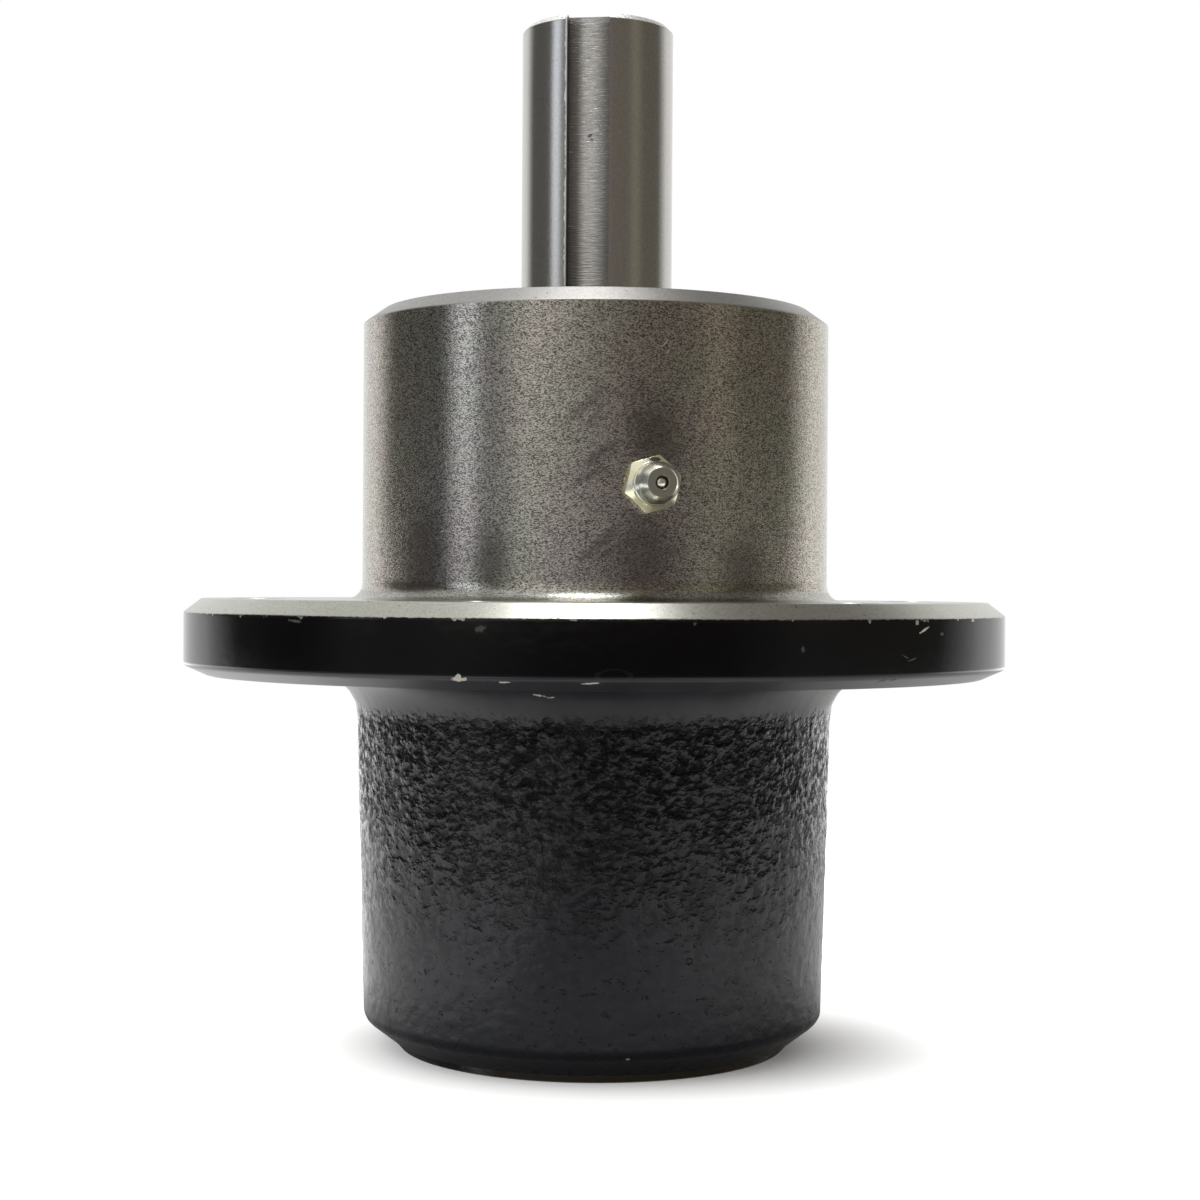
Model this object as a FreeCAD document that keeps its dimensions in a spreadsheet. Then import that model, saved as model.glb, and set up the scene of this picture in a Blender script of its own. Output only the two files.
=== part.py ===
"""Mower deck spindle: a flanged iron housing, a keyed shaft on two tapered roller bearings, and its seals.

The origin is on the shaft's axis in the housing's bottom face. +Z points up along the shaft, and the
keyway faces -Y. Lengths are in millimetres and angles in degrees.
"""

import FreeCAD
import Part
import Sketcher
import math
import os
import re

from FreeCAD import Placement, Rotation, Vector

# Driving dimensions
SIZES = [
    # The housing's outside
    ("housing_height", 138.2, "bottom face to top face of the housing"),
    ("upper_diameter", 88.0, "turned cylinder above the flange"),
    ("upper_chamfer_width", 3.6, "chamfer round the top, along the radius"),
    ("upper_chamfer_height", 2.6, "chamfer round the top, along the axis"),
    ("upper_fillet", 3.0, "corner between upper cylinder and flange"),
    ("flange_diameter", 154.0, "outside of the flange"),
    ("flange_top", 84.0, "height of the flange's upper face"),
    ("flange_thickness", 14.0, "upper face to lower face of the flange"),
    ("flange_chamfer_width", 3.2, "upper edge of the flange, along the radius"),
    ("flange_chamfer_height", 2.5, "upper edge of the flange, along the axis"),
    ("flange_bevel_width", 4.0, "lower edge of the flange, along the radius"),
    ("flange_bevel_height", 1.8, "lower edge of the flange, along the axis"),
    ("lower_fillet", 8.0, "cast corner under the flange"),
    ("lower_top_diameter", 89.8, "cast barrel where it leaves the flange"),
    ("lower_end_diameter", 86.6, "cast barrel at its lower end, after the draft"),
    ("foot_bevel_width", 5.5, "bevel above the foot, along the radius"),
    ("foot_bevel_height", 4.2, "bevel above the foot, along the axis"),
    ("foot_bevel_round", 2.5, "rounding of the bevel's upper edge"),
    ("foot_land", 1.6, "height of the turned land at the bottom"),
    ("cavity_diameter", 52.0, "grease space between the bearing cups"),
    ("bore_chamfer", 0.8, "lead-in at both mouths of the bore"),
    # The flange's bolt holes
    ("bolt_circle", 127.0, "pitch circle of the bolt holes"),
    ("bolt_hole", 10.3, "bolt hole for a ten millimetre bolt"),
    ("bolt_count", 6, "bolt holes in the flange"),
    # The shaft
    ("shaft_diameter", 28.575, "pulley end of the shaft"),
    ("shaft_projection", 54.1, "shaft above the housing's top face"),
    ("shaft_chamfer", 1.0, "both ends of the shaft"),
    ("shaft_inset", 1.0, "lower end of the shaft above the bottom face"),
    ("seat_setback", 0.5, "bearing seat short of the upper cone's back"),
    ("sleeve_seat", 30.0, "shaft under the wear sleeve, up to the pulley's shoulder"),
    ("key_width", 7.94, "width of the keyway"),
    ("key_depth", 4.0, "depth of the keyway from the crown of the shaft"),
    ("key_runout", 0.2, "end of the keyway above the wear sleeve"),
    ("blade_hole", 14.2, "tapped hole for the blade bolt, at its crests"),
    ("blade_hole_depth", 42.0, "depth of the tapped hole to the drill's shoulder"),
    ("blade_hole_mouth", 16.6, "countersink of the tapped hole"),
    ("drill_point", 118.0, "included angle of the drill's point"),
    ("centre_mouth", 6.0, "centre hole in the shaft's upper end"),
    ("centre_pilot", 2.5, "pilot of the centre hole"),
    ("centre_pilot_depth", 3.0, "straight part of the centre hole's pilot"),
    ("centre_angle", 60.0, "included angle of the centre hole"),
    # Seals and the surfaces that they run on
    ("seal_outside", 63.5, "outside of the seal case"),
    ("seal_shaft", 44.45, "collar and wear sleeve under the seals"),
    ("seal_width", 8.0, "length of the seal case"),
    ("seal_inset", 1.5, "seal below the housing's end face"),
    ("seal_sheet", 1.2, "sheet thickness of the seal case"),
    ("seal_lip_height", 4.0, "rubber from the running surface to the case"),
    ("seal_running", 0.04, "clearance of the lips on their surface"),
    ("garter_wire", 1.4, "thickness of the garter spring"),
    ("sleeve_inset", 0.8, "wear sleeve below the housing's top face"),
    ("cone_gap", 1.5, "seal recess to the back of the bearing cone"),
    # The tapered roller bearings
    ("bearing_bore", 31.75, "bore of the bearing cone"),
    ("bearing_outside", 59.131, "outside of the bearing cup"),
    ("bearing_width", 15.875, "back of the cone to back of the cup"),
    ("cup_width", 11.811, "length of the cup"),
    ("cone_width", 16.764, "length of the cone"),
    ("race_corner", 1.0, "rounded outer corners of the races"),
    ("roller_angle", 13.0, "roller's own axis against the shaft"),
    ("roller_diameter", 6.6, "roller at the middle of its length"),
    ("roller_length", 11.6, "roller along its own axis"),
    ("roller_count", 18, "rollers in each bearing"),
    ("roller_play", 0.05, "clearance of a roller on each race and rib"),
    ("back_rib_width", 2.9, "cone's rib behind the rollers' large ends"),
    ("back_rib_height", 2.0, "that rib above the race"),
    ("front_rib_height", 0.9, "cone's rib before the rollers' small ends"),
    ("cage_sheet", 0.8, "sheet thickness of the cage"),
    ("cage_offset", 0.9, "middle of the cage's sheet outside the rollers' axes"),
    ("cage_back_band", 1.9, "cage beyond the rollers' large ends"),
    ("cage_front_band", 1.9, "cage beyond the rollers' small ends"),
    ("cage_lip_gap", 0.8, "turned-in lip of the cage over the front rib"),
    ("window_play", 0.15, "clearance of a roller in its window"),
    ("spacer_outside", 37.0, "outside of the tube between the cones"),
    ("seat_play", 0.02, "clearance of pieces that are fitted together"),
    # The grease fitting
    ("port_angle", 19.7, "round from the keyway's side towards +X"),
    ("port_height", 104.0, "height of the fitting's axis"),
    ("port_drill", 4.0, "hole from the fitting into the grease space"),
    ("fitting_thread", 8.0, "shank of the fitting"),
    ("fitting_thread_length", 7.0, "shank below the hexagon"),
    ("fitting_thread_chamfer", 0.6, "end of the shank"),
    ("fitting_hexagon", 9.0, "hexagon across flats"),
    ("fitting_hexagon_height", 3.2, "hexagon along the fitting's axis"),
    ("fitting_clocking", 17.0, "turn of the hexagon on its axis"),
    ("fitting_shoulder", 7.2, "round shoulder above the hexagon"),
    ("fitting_shoulder_height", 0.9, "straight part of the shoulder"),
    ("fitting_neck", 4.9, "neck under the head"),
    ("fitting_neck_height", 2.6, "hexagon to the middle of the neck"),
    ("fitting_head", 7.2, "head that the grease gun grips"),
    ("fitting_head_height", 4.0, "hexagon to the widest part of the head"),
    ("fitting_height", 5.9, "hexagon to the tip"),
    ("fitting_tip", 5.0, "flat tip"),
    ("fitting_mouth", 2.2, "hole in the tip"),
    ("fitting_mouth_depth", 0.7, "length of that hole"),
    ("fitting_bore", 3.2, "bore that holds the ball and its spring"),
    ("fitting_bore_depth", 7.4, "tip to the spring's seat"),
    ("fitting_passage", 1.8, "hole below the spring's seat"),
    ("ball_diameter", 2.9, "check ball"),
    ("ball_play", 0.03, "ball below its seat at rest"),
    ("spring_wire", 0.36, "wire of the check spring"),
    ("spring_outside", 2.6, "outside of the check spring"),
    ("spring_turns", 5, "turns of the check spring"),
]

doc = FreeCAD.newDocument("MowerDeckSpindle")
sheet = doc.addObject("Spreadsheet::Sheet", "Sizes")
for row, (alias, size, note) in enumerate(SIZES, start=1):
    sheet.set(f"A{row}", note)
    sheet.set(f"B{row}", str(size))
    sheet.setAlias(f"B{row}", alias)
doc.recompute()

ALIASES = {alias for alias, size, note in SIZES}


# Formulas on the sheet

def formula(text):
    """Turn a formula in the sheet's own words into one that any object of the document can hold."""
    return re.sub(r"[a-z_]+", lambda word: f"Sizes.{word[0]}" if word[0] in ALIASES else word[0], text)


def number(text):
    """The present value of such a formula."""
    result = sheet.evalExpression(text)
    return getattr(result, "Value", result)


# Sketches and features

def new_body(label):
    body = doc.addObject("PartDesign::Body", label)
    body.Label = label
    return body


def origin_part(body, role):
    return next(part for part in body.Origin.OriginFeatures if part.Role == role)


def new_sketch(body, name, plane="XZ_Plane", offset=None, turn_axis=None, turn=None):
    """A sketch on an origin plane, moved along the plane's normal or turned about one of its axes."""
    sketch = body.newObject("Sketcher::SketchObject", name)
    sketch.AttachmentSupport = [(origin_part(body, plane), "")]
    sketch.MapMode = "FlatFace"
    if turn is not None:
        sketch.AttachmentOffset = Placement(Vector(), Rotation(turn_axis, number(turn)))
        sketch.setExpression("AttachmentOffset.Rotation.Angle", formula(turn))
    if offset is not None:
        sketch.setExpression("AttachmentOffset.Base.z", formula(offset))
    return sketch


def bind(sketch, constraint, text):
    index = sketch.addConstraint(constraint)
    sketch.setExpression(f"Constraints[{index}]", formula(text))


def pin_point(sketch, geometry, point, across, up):
    """Hold one point of the sketch at a place that two formulas give."""
    for kind, axis, text in (("DistanceX", -2, across), ("DistanceY", -1, up)):
        if text == "0":
            sketch.addConstraint(Sketcher.Constraint("PointOnObject", geometry, point, axis))
        else:
            place = number(text)
            bind(sketch, Sketcher.Constraint(kind, -1, 1, geometry, point, place), text)


def draw_outline(sketch, corners):
    """Close an outline through corners of (across, up) formulas, with a radius where a corner is round."""
    spots = [Vector(number(corner[0]), number(corner[1]), 0) for corner in corners]
    count = len(corners)
    arrive = list(spots)
    leave = list(spots)
    centres = {}
    for i, corner in enumerate(corners):
        if len(corner) == 2:
            continue
        radius = number(corner[2])
        back = (spots[i - 1] - spots[i]).normalize()
        ahead = (spots[(i + 1) % count] - spots[i]).normalize()
        half = back.getAngle(ahead) / 2
        arrive[i] = spots[i] + back * (radius / math.tan(half))
        leave[i] = spots[i] + ahead * (radius / math.tan(half))
        centres[i] = spots[i] + (back + ahead).normalize() * (radius / math.sin(half))
    first = sketch.GeometryCount
    for i in range(count):
        sketch.addGeometry(Part.LineSegment(leave[i], arrive[(i + 1) % count]))
    for i, corner in enumerate(corners):
        before = first + (i - 1) % count
        after = first + i
        if i not in centres:
            sketch.addConstraint(Sketcher.Constraint("Coincident", before, 2, after, 1))
            pin_point(sketch, after, 1, corner[0], corner[1])
            continue
        start = arrive[i] - centres[i]
        end = leave[i] - centres[i]
        forward = start.cross(end).z > 0
        angles = [math.atan2(arm.y, arm.x) for arm in ((start, end) if forward else (end, start))]
        circle = Part.Circle(centres[i], Vector(0, 0, 1), number(corner[2]))
        arc = sketch.addGeometry(Part.ArcOfCircle(circle, *angles))
        vertex = sketch.addGeometry(Part.Point(spots[i]), True)
        sketch.addConstraint(Sketcher.Constraint("Tangent", before, 2, arc, 1 if forward else 2))
        sketch.addConstraint(Sketcher.Constraint("Tangent", after, 1, arc, 2 if forward else 1))
        sketch.addConstraint(Sketcher.Constraint("PointOnObject", vertex, 1, before))
        sketch.addConstraint(Sketcher.Constraint("PointOnObject", vertex, 1, after))
        bind(sketch, Sketcher.Constraint("Radius", arc, number(corner[2])), corner[2])
        pin_point(sketch, vertex, 1, corner[0], corner[1])


def draw_axis(sketch, start, end):
    """A construction line between two points given by formulas, which the sketch calls Axis0."""
    spots = [Vector(number(across), number(up), 0) for across, up in (start, end)]
    line = sketch.addGeometry(Part.LineSegment(*spots), True)
    pin_point(sketch, line, 1, *start)
    pin_point(sketch, line, 2, *end)


def draw_circle(sketch, across, up, radius):
    centre = Vector(number(across), number(up), 0)
    circle = sketch.addGeometry(Part.Circle(centre, Vector(0, 0, 1), number(radius)))
    bind(sketch, Sketcher.Constraint("Radius", circle, number(radius)), radius)
    pin_point(sketch, circle, 3, across, up)


def draw_slot(sketch, half_width, start, end):
    """An upright slot about the sketch's V axis, with a half circle round its start and a square end."""
    half = number(half_width)
    low = number(start)
    high = number(end)
    spots = [Vector(half, low, 0), Vector(half, high, 0), Vector(-half, high, 0), Vector(-half, low, 0)]
    right, top, left = [
        sketch.addGeometry(Part.LineSegment(spots[i], spots[i + 1])) for i in range(3)
    ]
    circle = Part.Circle(Vector(0, low, 0), Vector(0, 0, 1), half)
    arc = sketch.addGeometry(Part.ArcOfCircle(circle, math.pi, 2 * math.pi))
    sketch.addConstraint(Sketcher.Constraint("Coincident", right, 2, top, 1))
    sketch.addConstraint(Sketcher.Constraint("Coincident", top, 2, left, 1))
    sketch.addConstraint(Sketcher.Constraint("Tangent", left, 2, arc, 1))
    sketch.addConstraint(Sketcher.Constraint("Tangent", arc, 2, right, 1))
    sketch.addConstraint(Sketcher.Constraint("Vertical", right))
    pin_point(sketch, top, 1, half_width, end)
    pin_point(sketch, top, 2, f"-({half_width})", end)
    pin_point(sketch, arc, 3, "0", start)


def turn_profile(body, sketch, name, kind="Revolution", axis="V_Axis"):
    """Revolve a sketch all the way round: a Revolution adds it, and a Groove cuts it away."""
    feature = body.newObject(f"PartDesign::{kind}", name)
    feature.Profile = sketch
    feature.ReferenceAxis = (sketch, [axis])
    feature.Angle = 360
    doc.recompute()
    return feature


def turned_body(label, corners, turn=None):
    """A body of revolution about the shaft's axis, from corners of (radius, height) formulas."""
    body = new_body(label)
    sketch = new_sketch(body, f"{label}_section", turn_axis=Vector(0, 1, 0), turn=turn)
    draw_outline(sketch, corners)
    turn_profile(body, sketch, f"{label}_turned")
    return body


def round_pattern(body, feature, name, count):
    """Repeat a feature evenly about the shaft's axis."""
    pattern = body.newObject("PartDesign::PolarPattern", name)
    pattern.Originals = [feature]
    pattern.Axis = (origin_part(body, "Z_Axis"), [""])
    pattern.Angle = 360
    pattern.setExpression("Occurrences", formula(count))
    body.Tip = pattern
    doc.recompute()


# Heights and radii that several pieces share
UPPER_R = "upper_diameter / 2"
FLANGE_R = "flange_diameter / 2"
FLANGE_BOTTOM = "(flange_top - flange_thickness)"
LOWER_TOP_R = "lower_top_diameter / 2"
LOWER_END_R = "lower_end_diameter / 2"
FOOT_R = f"({LOWER_END_R} - foot_bevel_width)"
SEAL_BORE_R = "(seal_outside / 2 + seat_play)"
CUP_BORE_R = "(bearing_outside / 2 + seat_play)"
CAVITY_R = "cavity_diameter / 2"
SHAFT_R = "shaft_diameter / 2"
SHAFT_TOP = "(housing_height + shaft_projection)"
SEAL_SHAFT_R = "seal_shaft / 2"
SEAL_DEPTH = "(seal_inset + seal_width)"
CONE_BACK = f"({SEAL_DEPTH} + cone_gap)"
CUP_BACK = f"({CONE_BACK} + bearing_width)"
CONE_FRONT = f"({CONE_BACK} + cone_width)"
SLEEVE_TOP = "(housing_height - sleeve_inset)"


def from_top(height):
    """The same distance below the housing's top face as the given height is above its bottom face."""
    return f"(housing_height - {height})"


def spindle_housing():
    """The one-piece casting: its section turned, then the bolt holes and the grease port cut."""
    body = turned_body("spindle_housing", [
        # Down the outside, from the top
        (f"{SEAL_BORE_R} + bore_chamfer", "housing_height"),
        (f"{UPPER_R} - upper_chamfer_width", "housing_height"),
        (UPPER_R, "housing_height - upper_chamfer_height"),
        (UPPER_R, "flange_top", "upper_fillet"),
        (f"{FLANGE_R} - flange_chamfer_width", "flange_top"),
        (FLANGE_R, "flange_top - flange_chamfer_height"),
        (FLANGE_R, f"{FLANGE_BOTTOM} + flange_bevel_height"),
        (f"{FLANGE_R} - flange_bevel_width", FLANGE_BOTTOM),
        (LOWER_TOP_R, FLANGE_BOTTOM, "lower_fillet"),
        (LOWER_END_R, "foot_land + foot_bevel_height", "foot_bevel_round"),
        (FOOT_R, "foot_land"),
        (FOOT_R, "0"),
        # Up the bore, from the bottom
        (f"{SEAL_BORE_R} + bore_chamfer", "0"),
        (SEAL_BORE_R, "bore_chamfer"),
        (SEAL_BORE_R, SEAL_DEPTH),
        (CUP_BORE_R, SEAL_DEPTH),
        (CUP_BORE_R, CUP_BACK),
        (CAVITY_R, CUP_BACK),
        (CAVITY_R, from_top(CUP_BACK)),
        (CUP_BORE_R, from_top(CUP_BACK)),
        (CUP_BORE_R, from_top(SEAL_DEPTH)),
        (SEAL_BORE_R, from_top(SEAL_DEPTH)),
        (SEAL_BORE_R, "housing_height - bore_chamfer"),
    ])

    # The grease fitting stands midway between two bolt holes
    first_hole = new_sketch(
        body, "bolt_hole_place", "XY_Plane",
        turn_axis=Vector(0, 0, 1), turn="port_angle + 180 / bolt_count - 90",
    )
    draw_circle(first_hole, "bolt_circle / 2", "0", "bolt_hole / 2")
    holes = body.newObject("PartDesign::Pocket", "bolt_hole_cut")
    holes.Profile = first_hole
    holes.Type = "ThroughAll"
    holes.Reversed = True
    doc.recompute()
    round_pattern(body, holes, "bolt_holes", "bolt_count")

    port = new_sketch(body, "grease_port_section", turn_axis=Vector(0, 1, 0), turn="port_angle - 90")
    thread_floor = f"{UPPER_R} - fitting_thread_length - fitting_thread_chamfer"
    draw_axis(port, (CAVITY_R, "port_height"), (UPPER_R, "port_height"))
    draw_outline(port, [
        (f"{CAVITY_R} - port_drill", "port_height"),
        (f"{UPPER_R} + port_drill", "port_height"),
        (f"{UPPER_R} + port_drill", "port_height + fitting_thread / 2 + seat_play"),
        (thread_floor, "port_height + fitting_thread / 2 + seat_play"),
        (thread_floor, "port_height + port_drill / 2"),
        (f"{CAVITY_R} - port_drill", "port_height + port_drill / 2"),
    ])
    turn_profile(body, port, "grease_port", "Groove", "Axis0")
    return body


def spindle_shaft():
    """The stepped shaft, with a tapped hole below, a centre hole above and an end-milled keyway.

    Its section lies in the keyway's middle plane, so the keyway takes the seam of the turned faces away.
    """
    hole_top = "(shaft_inset + blade_hole_depth)"
    centre_floor = f"({SHAFT_TOP} - (centre_mouth - centre_pilot) / 2 / tan(centre_angle / 2))"
    pilot_floor = f"({centre_floor} - centre_pilot_depth)"
    body = turned_body("spindle_shaft", [
        ("0", f"{hole_top} + blade_hole / 2 / tan(drill_point / 2)"),
        ("blade_hole / 2", hole_top),
        ("blade_hole / 2", "shaft_inset + (blade_hole_mouth - blade_hole) / 2"),
        ("blade_hole_mouth / 2", "shaft_inset"),
        (f"{SEAL_SHAFT_R} - shaft_chamfer", "shaft_inset"),
        (SEAL_SHAFT_R, "shaft_inset + shaft_chamfer"),
        (SEAL_SHAFT_R, CONE_BACK),
        ("bearing_bore / 2", CONE_BACK),
        ("bearing_bore / 2", f"{from_top(CONE_BACK)} - seat_setback"),
        ("sleeve_seat / 2", f"{from_top(CONE_BACK)} - seat_setback"),
        ("sleeve_seat / 2", SLEEVE_TOP),
        (SHAFT_R, SLEEVE_TOP),
        (SHAFT_R, f"{SHAFT_TOP} - shaft_chamfer"),
        (f"{SHAFT_R} - shaft_chamfer", SHAFT_TOP),
        ("centre_mouth / 2", SHAFT_TOP),
        ("centre_pilot / 2", centre_floor),
        ("centre_pilot / 2", pilot_floor),
        ("0", f"{pilot_floor} - centre_pilot / 2 / tan(drill_point / 2)"),
    ], turn="-90")

    # The cutter sinks in beside the wear sleeve and leaves through the shaft's upper end
    cutter_start = f"({SLEEVE_TOP} + key_runout + key_width / 2)"
    outline = new_sketch(body, "keyway_outline", offset=SHAFT_R)
    draw_slot(outline, "key_width / 2", cutter_start, f"{SHAFT_TOP} + key_depth")
    keyway = body.newObject("PartDesign::Pocket", "keyway")
    keyway.Profile = outline
    keyway.setExpression("Length", formula("key_depth"))
    doc.recompute()
    return body


def upper_wear_sleeve():
    """The ring that clamps the upper cone and carries the upper seal's lips."""
    return turned_body("upper_wear_sleeve", [
        ("sleeve_seat / 2 + seat_play", from_top(CONE_BACK)),
        (SEAL_SHAFT_R, from_top(CONE_BACK)),
        (SEAL_SHAFT_R, f"{SLEEVE_TOP} - shaft_chamfer"),
        (f"{SEAL_SHAFT_R} - shaft_chamfer", SLEEVE_TOP),
        ("sleeve_seat / 2 + seat_play", SLEEVE_TOP),
    ])


def bearing_spacer():
    """The tube between the two cones."""
    return turned_body("bearing_spacer", [
        ("bearing_bore / 2 + seat_play", CONE_FRONT),
        ("spacer_outside / 2", CONE_FRONT),
        ("spacer_outside / 2", from_top(CONE_FRONT)),
        ("bearing_bore / 2 + seat_play", from_top(CONE_FRONT)),
    ])


# A bearing's races, rollers and cage are cones that share one apex on the shaft's axis. Its own
# heights run from the back of the cone, at the rollers' large ends, towards that apex.
PITCH_R = "((bearing_bore + bearing_outside) / 4)"
APEX_REACH = f"({PITCH_R} / sin(roller_angle))"
ROLLER_TAPER = f"asin(roller_diameter / 2 / {APEX_REACH})"
LARGE_END = f"({APEX_REACH} + roller_length / 2)"
SMALL_END = f"({APEX_REACH} - roller_length / 2)"
BACK_RIB = f"({LARGE_END} + roller_play)"
FRONT_RIB = f"({SMALL_END} - roller_play)"
APEX = f"(back_rib_width + {BACK_RIB} * cos(roller_angle))"


def on_roller_axis(along, off):
    """Radius and bearing height of a point: along the roller's axis from the apex, and out from it."""
    radius = f"(({along}) * sin(roller_angle) + ({off}) * cos(roller_angle))"
    height = f"({APEX} - ({along}) * cos(roller_angle) + ({off}) * sin(roller_angle))"
    return radius, height


def cup_race(height):
    """Radius of the cup's race at a bearing height."""
    return f"(({APEX} - ({height})) * tan(roller_angle * 1 deg + {ROLLER_TAPER}))"


def above_cone_race(along, rise):
    """A point square to the roller's axis at a distance from the apex, raised above the cone's race."""
    return on_roller_axis(along, f"{rise} - {along} * tan({ROLLER_TAPER})")


def place_bearing(end):
    """A function that turns bearing heights into heights of the spindle, at the named end."""
    def height(text):
        above = f"({CONE_BACK} + {text})"
        return above if end == "lower" else from_top(above)
    return height


def placed(corners, height):
    return [(radius, height(up), *rest) for radius, up, *rest in corners]


def bearing_cup(end):
    front = "(bearing_width - cup_width)"
    corners = [
        (cup_race(front), front),
        ("bearing_outside / 2", front, "race_corner"),
        ("bearing_outside / 2", "bearing_width", "race_corner"),
        (cup_race("bearing_width"), "bearing_width"),
    ]
    return turned_body(f"{end}_bearing_cup", placed(corners, place_bearing(end)))


def bearing_cone(end):
    bore = "bearing_bore / 2 + seat_play"
    back_rib = above_cone_race(BACK_RIB, "back_rib_height")
    front_rib = above_cone_race(FRONT_RIB, "front_rib_height")
    corners = [
        (bore, "0"),
        (back_rib[0], "0", "race_corner / 2"),
        back_rib,
        above_cone_race(BACK_RIB, "0"),
        above_cone_race(FRONT_RIB, "0"),
        front_rib,
        (front_rib[0], "cone_width"),
        (bore, "cone_width"),
    ]
    return turned_body(f"{end}_bearing_cone", placed(corners, place_bearing(end)))


def roller_section(sketch, height, play):
    """Half of a roller's own section, grown all round by the given play, with its axis."""
    large = f"({LARGE_END} + {play})"
    small = f"({SMALL_END} - {play})"

    def flank(along):
        return f"({along} * tan({ROLLER_TAPER}) + {play})"

    def spot(along, off):
        radius, up = on_roller_axis(along, off)
        return radius, height(up)

    draw_axis(sketch, spot(small, "0"), spot(large, "0"))
    draw_outline(sketch, [
        spot(small, "0"),
        spot(large, "0"),
        spot(large, flank(large)),
        spot(small, flank(small)),
    ])


def bearing_rollers(end):
    """One tapered roller turned about its own leaning axis, then repeated round the shaft."""
    label = f"{end}_bearing_rollers"
    body = new_body(label)
    body.AllowCompound = True
    sketch = new_sketch(body, f"{end}_roller_section")
    roller_section(sketch, place_bearing(end), "-roller_play")
    roller = turn_profile(body, sketch, f"{end}_roller", axis="Axis0")
    round_pattern(body, roller, f"{end}_roller_set", "roller_count")
    return body


def bearing_cage(end):
    """A pressed cone of sheet with a turned-in lip, and a window cut by each roller and its play."""
    height = place_bearing(end)
    back = f"({LARGE_END} + cage_back_band)"
    front = f"({SMALL_END} - cage_front_band)"
    inner = "cage_offset - cage_sheet / 2"
    outer = "cage_offset + cage_sheet / 2"
    lip_r = above_cone_race(FRONT_RIB, "front_rib_height + cage_lip_gap")[0]
    inner_front = on_roller_axis(front, inner)
    outer_front = on_roller_axis(front, outer)
    corners = [
        on_roller_axis(back, inner),
        on_roller_axis(back, outer),
        (outer_front[0], f"{inner_front[1]} + cage_sheet"),
        (lip_r, f"{inner_front[1]} + cage_sheet"),
        (lip_r, inner_front[1]),
        inner_front,
    ]
    body = turned_body(f"{end}_bearing_cage", placed(corners, height))
    sketch = new_sketch(body, f"{end}_window_section")
    roller_section(sketch, height, "window_play")
    window = turn_profile(body, sketch, f"{end}_window", "Groove", "Axis0")
    round_pattern(body, window, f"{end}_windows", "roller_count")
    return body


# A seal's own heights run inwards from its outer face
LIP_R = f"({SEAL_SHAFT_R} + seal_running)"
WEB_R = f"({LIP_R} + seal_lip_height)"
GARTER_R = f"({LIP_R} + seal_lip_height * 0.8)"
GARTER_UP = "(seal_width * 0.65)"


def place_seal(end):
    """A function that turns seal heights into heights of the spindle, at the named end."""
    def height(text):
        above = f"(seal_inset + {text})"
        return above if end == "lower" else from_top(above)
    return height


def seal_case(end):
    """The pressed steel case: a cylinder in the housing and a web across its outer side."""
    corners = [
        (WEB_R, "0"),
        ("seal_outside / 2", "0", "seal_sheet"),
        ("seal_outside / 2", "seal_width"),
        ("seal_outside / 2 - seal_sheet", "seal_width"),
        ("seal_outside / 2 - seal_sheet", "seal_sheet"),
        (WEB_R, "seal_sheet"),
    ]
    return turned_body(f"{end}_seal_case", placed(corners, place_seal(end)))


def seal_lip(end):
    """The rubber: a dust lip outside, a sealing lip inside, and a groove for the garter spring."""
    height = place_seal(end)
    valley_r = f"{LIP_R} + seal_lip_height * 0.4"
    corners = [
        (WEB_R, "0"),
        (valley_r, "0"),
        (LIP_R, "seal_width * 0.1"),
        (LIP_R, "seal_width * 0.15"),
        (valley_r, "seal_width * 0.25"),
        (LIP_R, "seal_width * 0.55"),
        (LIP_R, "seal_width * 0.6"),
        (f"{LIP_R} + seal_lip_height * 0.25", "seal_width * 0.8"),
        (GARTER_R, "seal_width * 0.8"),
        (GARTER_R, "seal_sheet * 1.5"),
        (WEB_R, "seal_sheet"),
    ]
    body = turned_body(f"{end}_seal_lip", placed(corners, height))
    groove = new_sketch(body, f"{end}_garter_groove")
    draw_circle(groove, GARTER_R, height(GARTER_UP), "garter_wire / 2 + seat_play")
    turn_profile(body, groove, f"{end}_garter_seat", "Groove")
    return body


def seal_spring(end):
    """The garter spring, closed into a ring."""
    ring = doc.addObject("Part::Torus", f"{end}_seal_spring")
    ring.Label = f"{end}_seal_spring"
    ring.setExpression("Radius1", formula(GARTER_R))
    ring.setExpression("Radius2", formula("garter_wire / 2"))
    ring.setExpression("Placement.Base.z", formula(place_seal(end)(GARTER_UP)))
    return ring


# The fitting's own heights run outwards along its axis from the end of its shank
SEAT = "fitting_thread_length"
HEXAGON_TOP = "(fitting_thread_length + fitting_hexagon_height)"
TIP = f"({HEXAGON_TOP} + fitting_height)"
SPRING_SEAT = f"({TIP} - fitting_bore_depth)"
BALL_SEAT = f"({TIP} - fitting_mouth_depth)"
BALL_DROP = "sqrt((ball_diameter / 2) ^ 2 - (fitting_mouth / 2) ^ 2)"
BALL_UP = f"({BALL_SEAT} - {BALL_DROP} - ball_play)"


def place_on_port(piece, up):
    """Stand a piece's own Z axis along the grease port, at a height on the fitting."""
    reach = f"({UPPER_R} + seat_play - fitting_thread_length + {up})"
    piece.setExpression("Placement.Base.x", formula(f"{reach} * sin(port_angle)"))
    piece.setExpression("Placement.Base.y", formula(f"-{reach} * cos(port_angle)"))
    piece.setExpression("Placement.Base.z", formula("port_height"))
    piece.setExpression("Placement.Rotation.Axis.x", formula("cos(port_angle)"))
    piece.setExpression("Placement.Rotation.Axis.y", formula("sin(port_angle)"))
    piece.setExpression("Placement.Rotation.Axis.z", "0")
    piece.setExpression("Placement.Rotation.Angle", "90")


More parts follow.
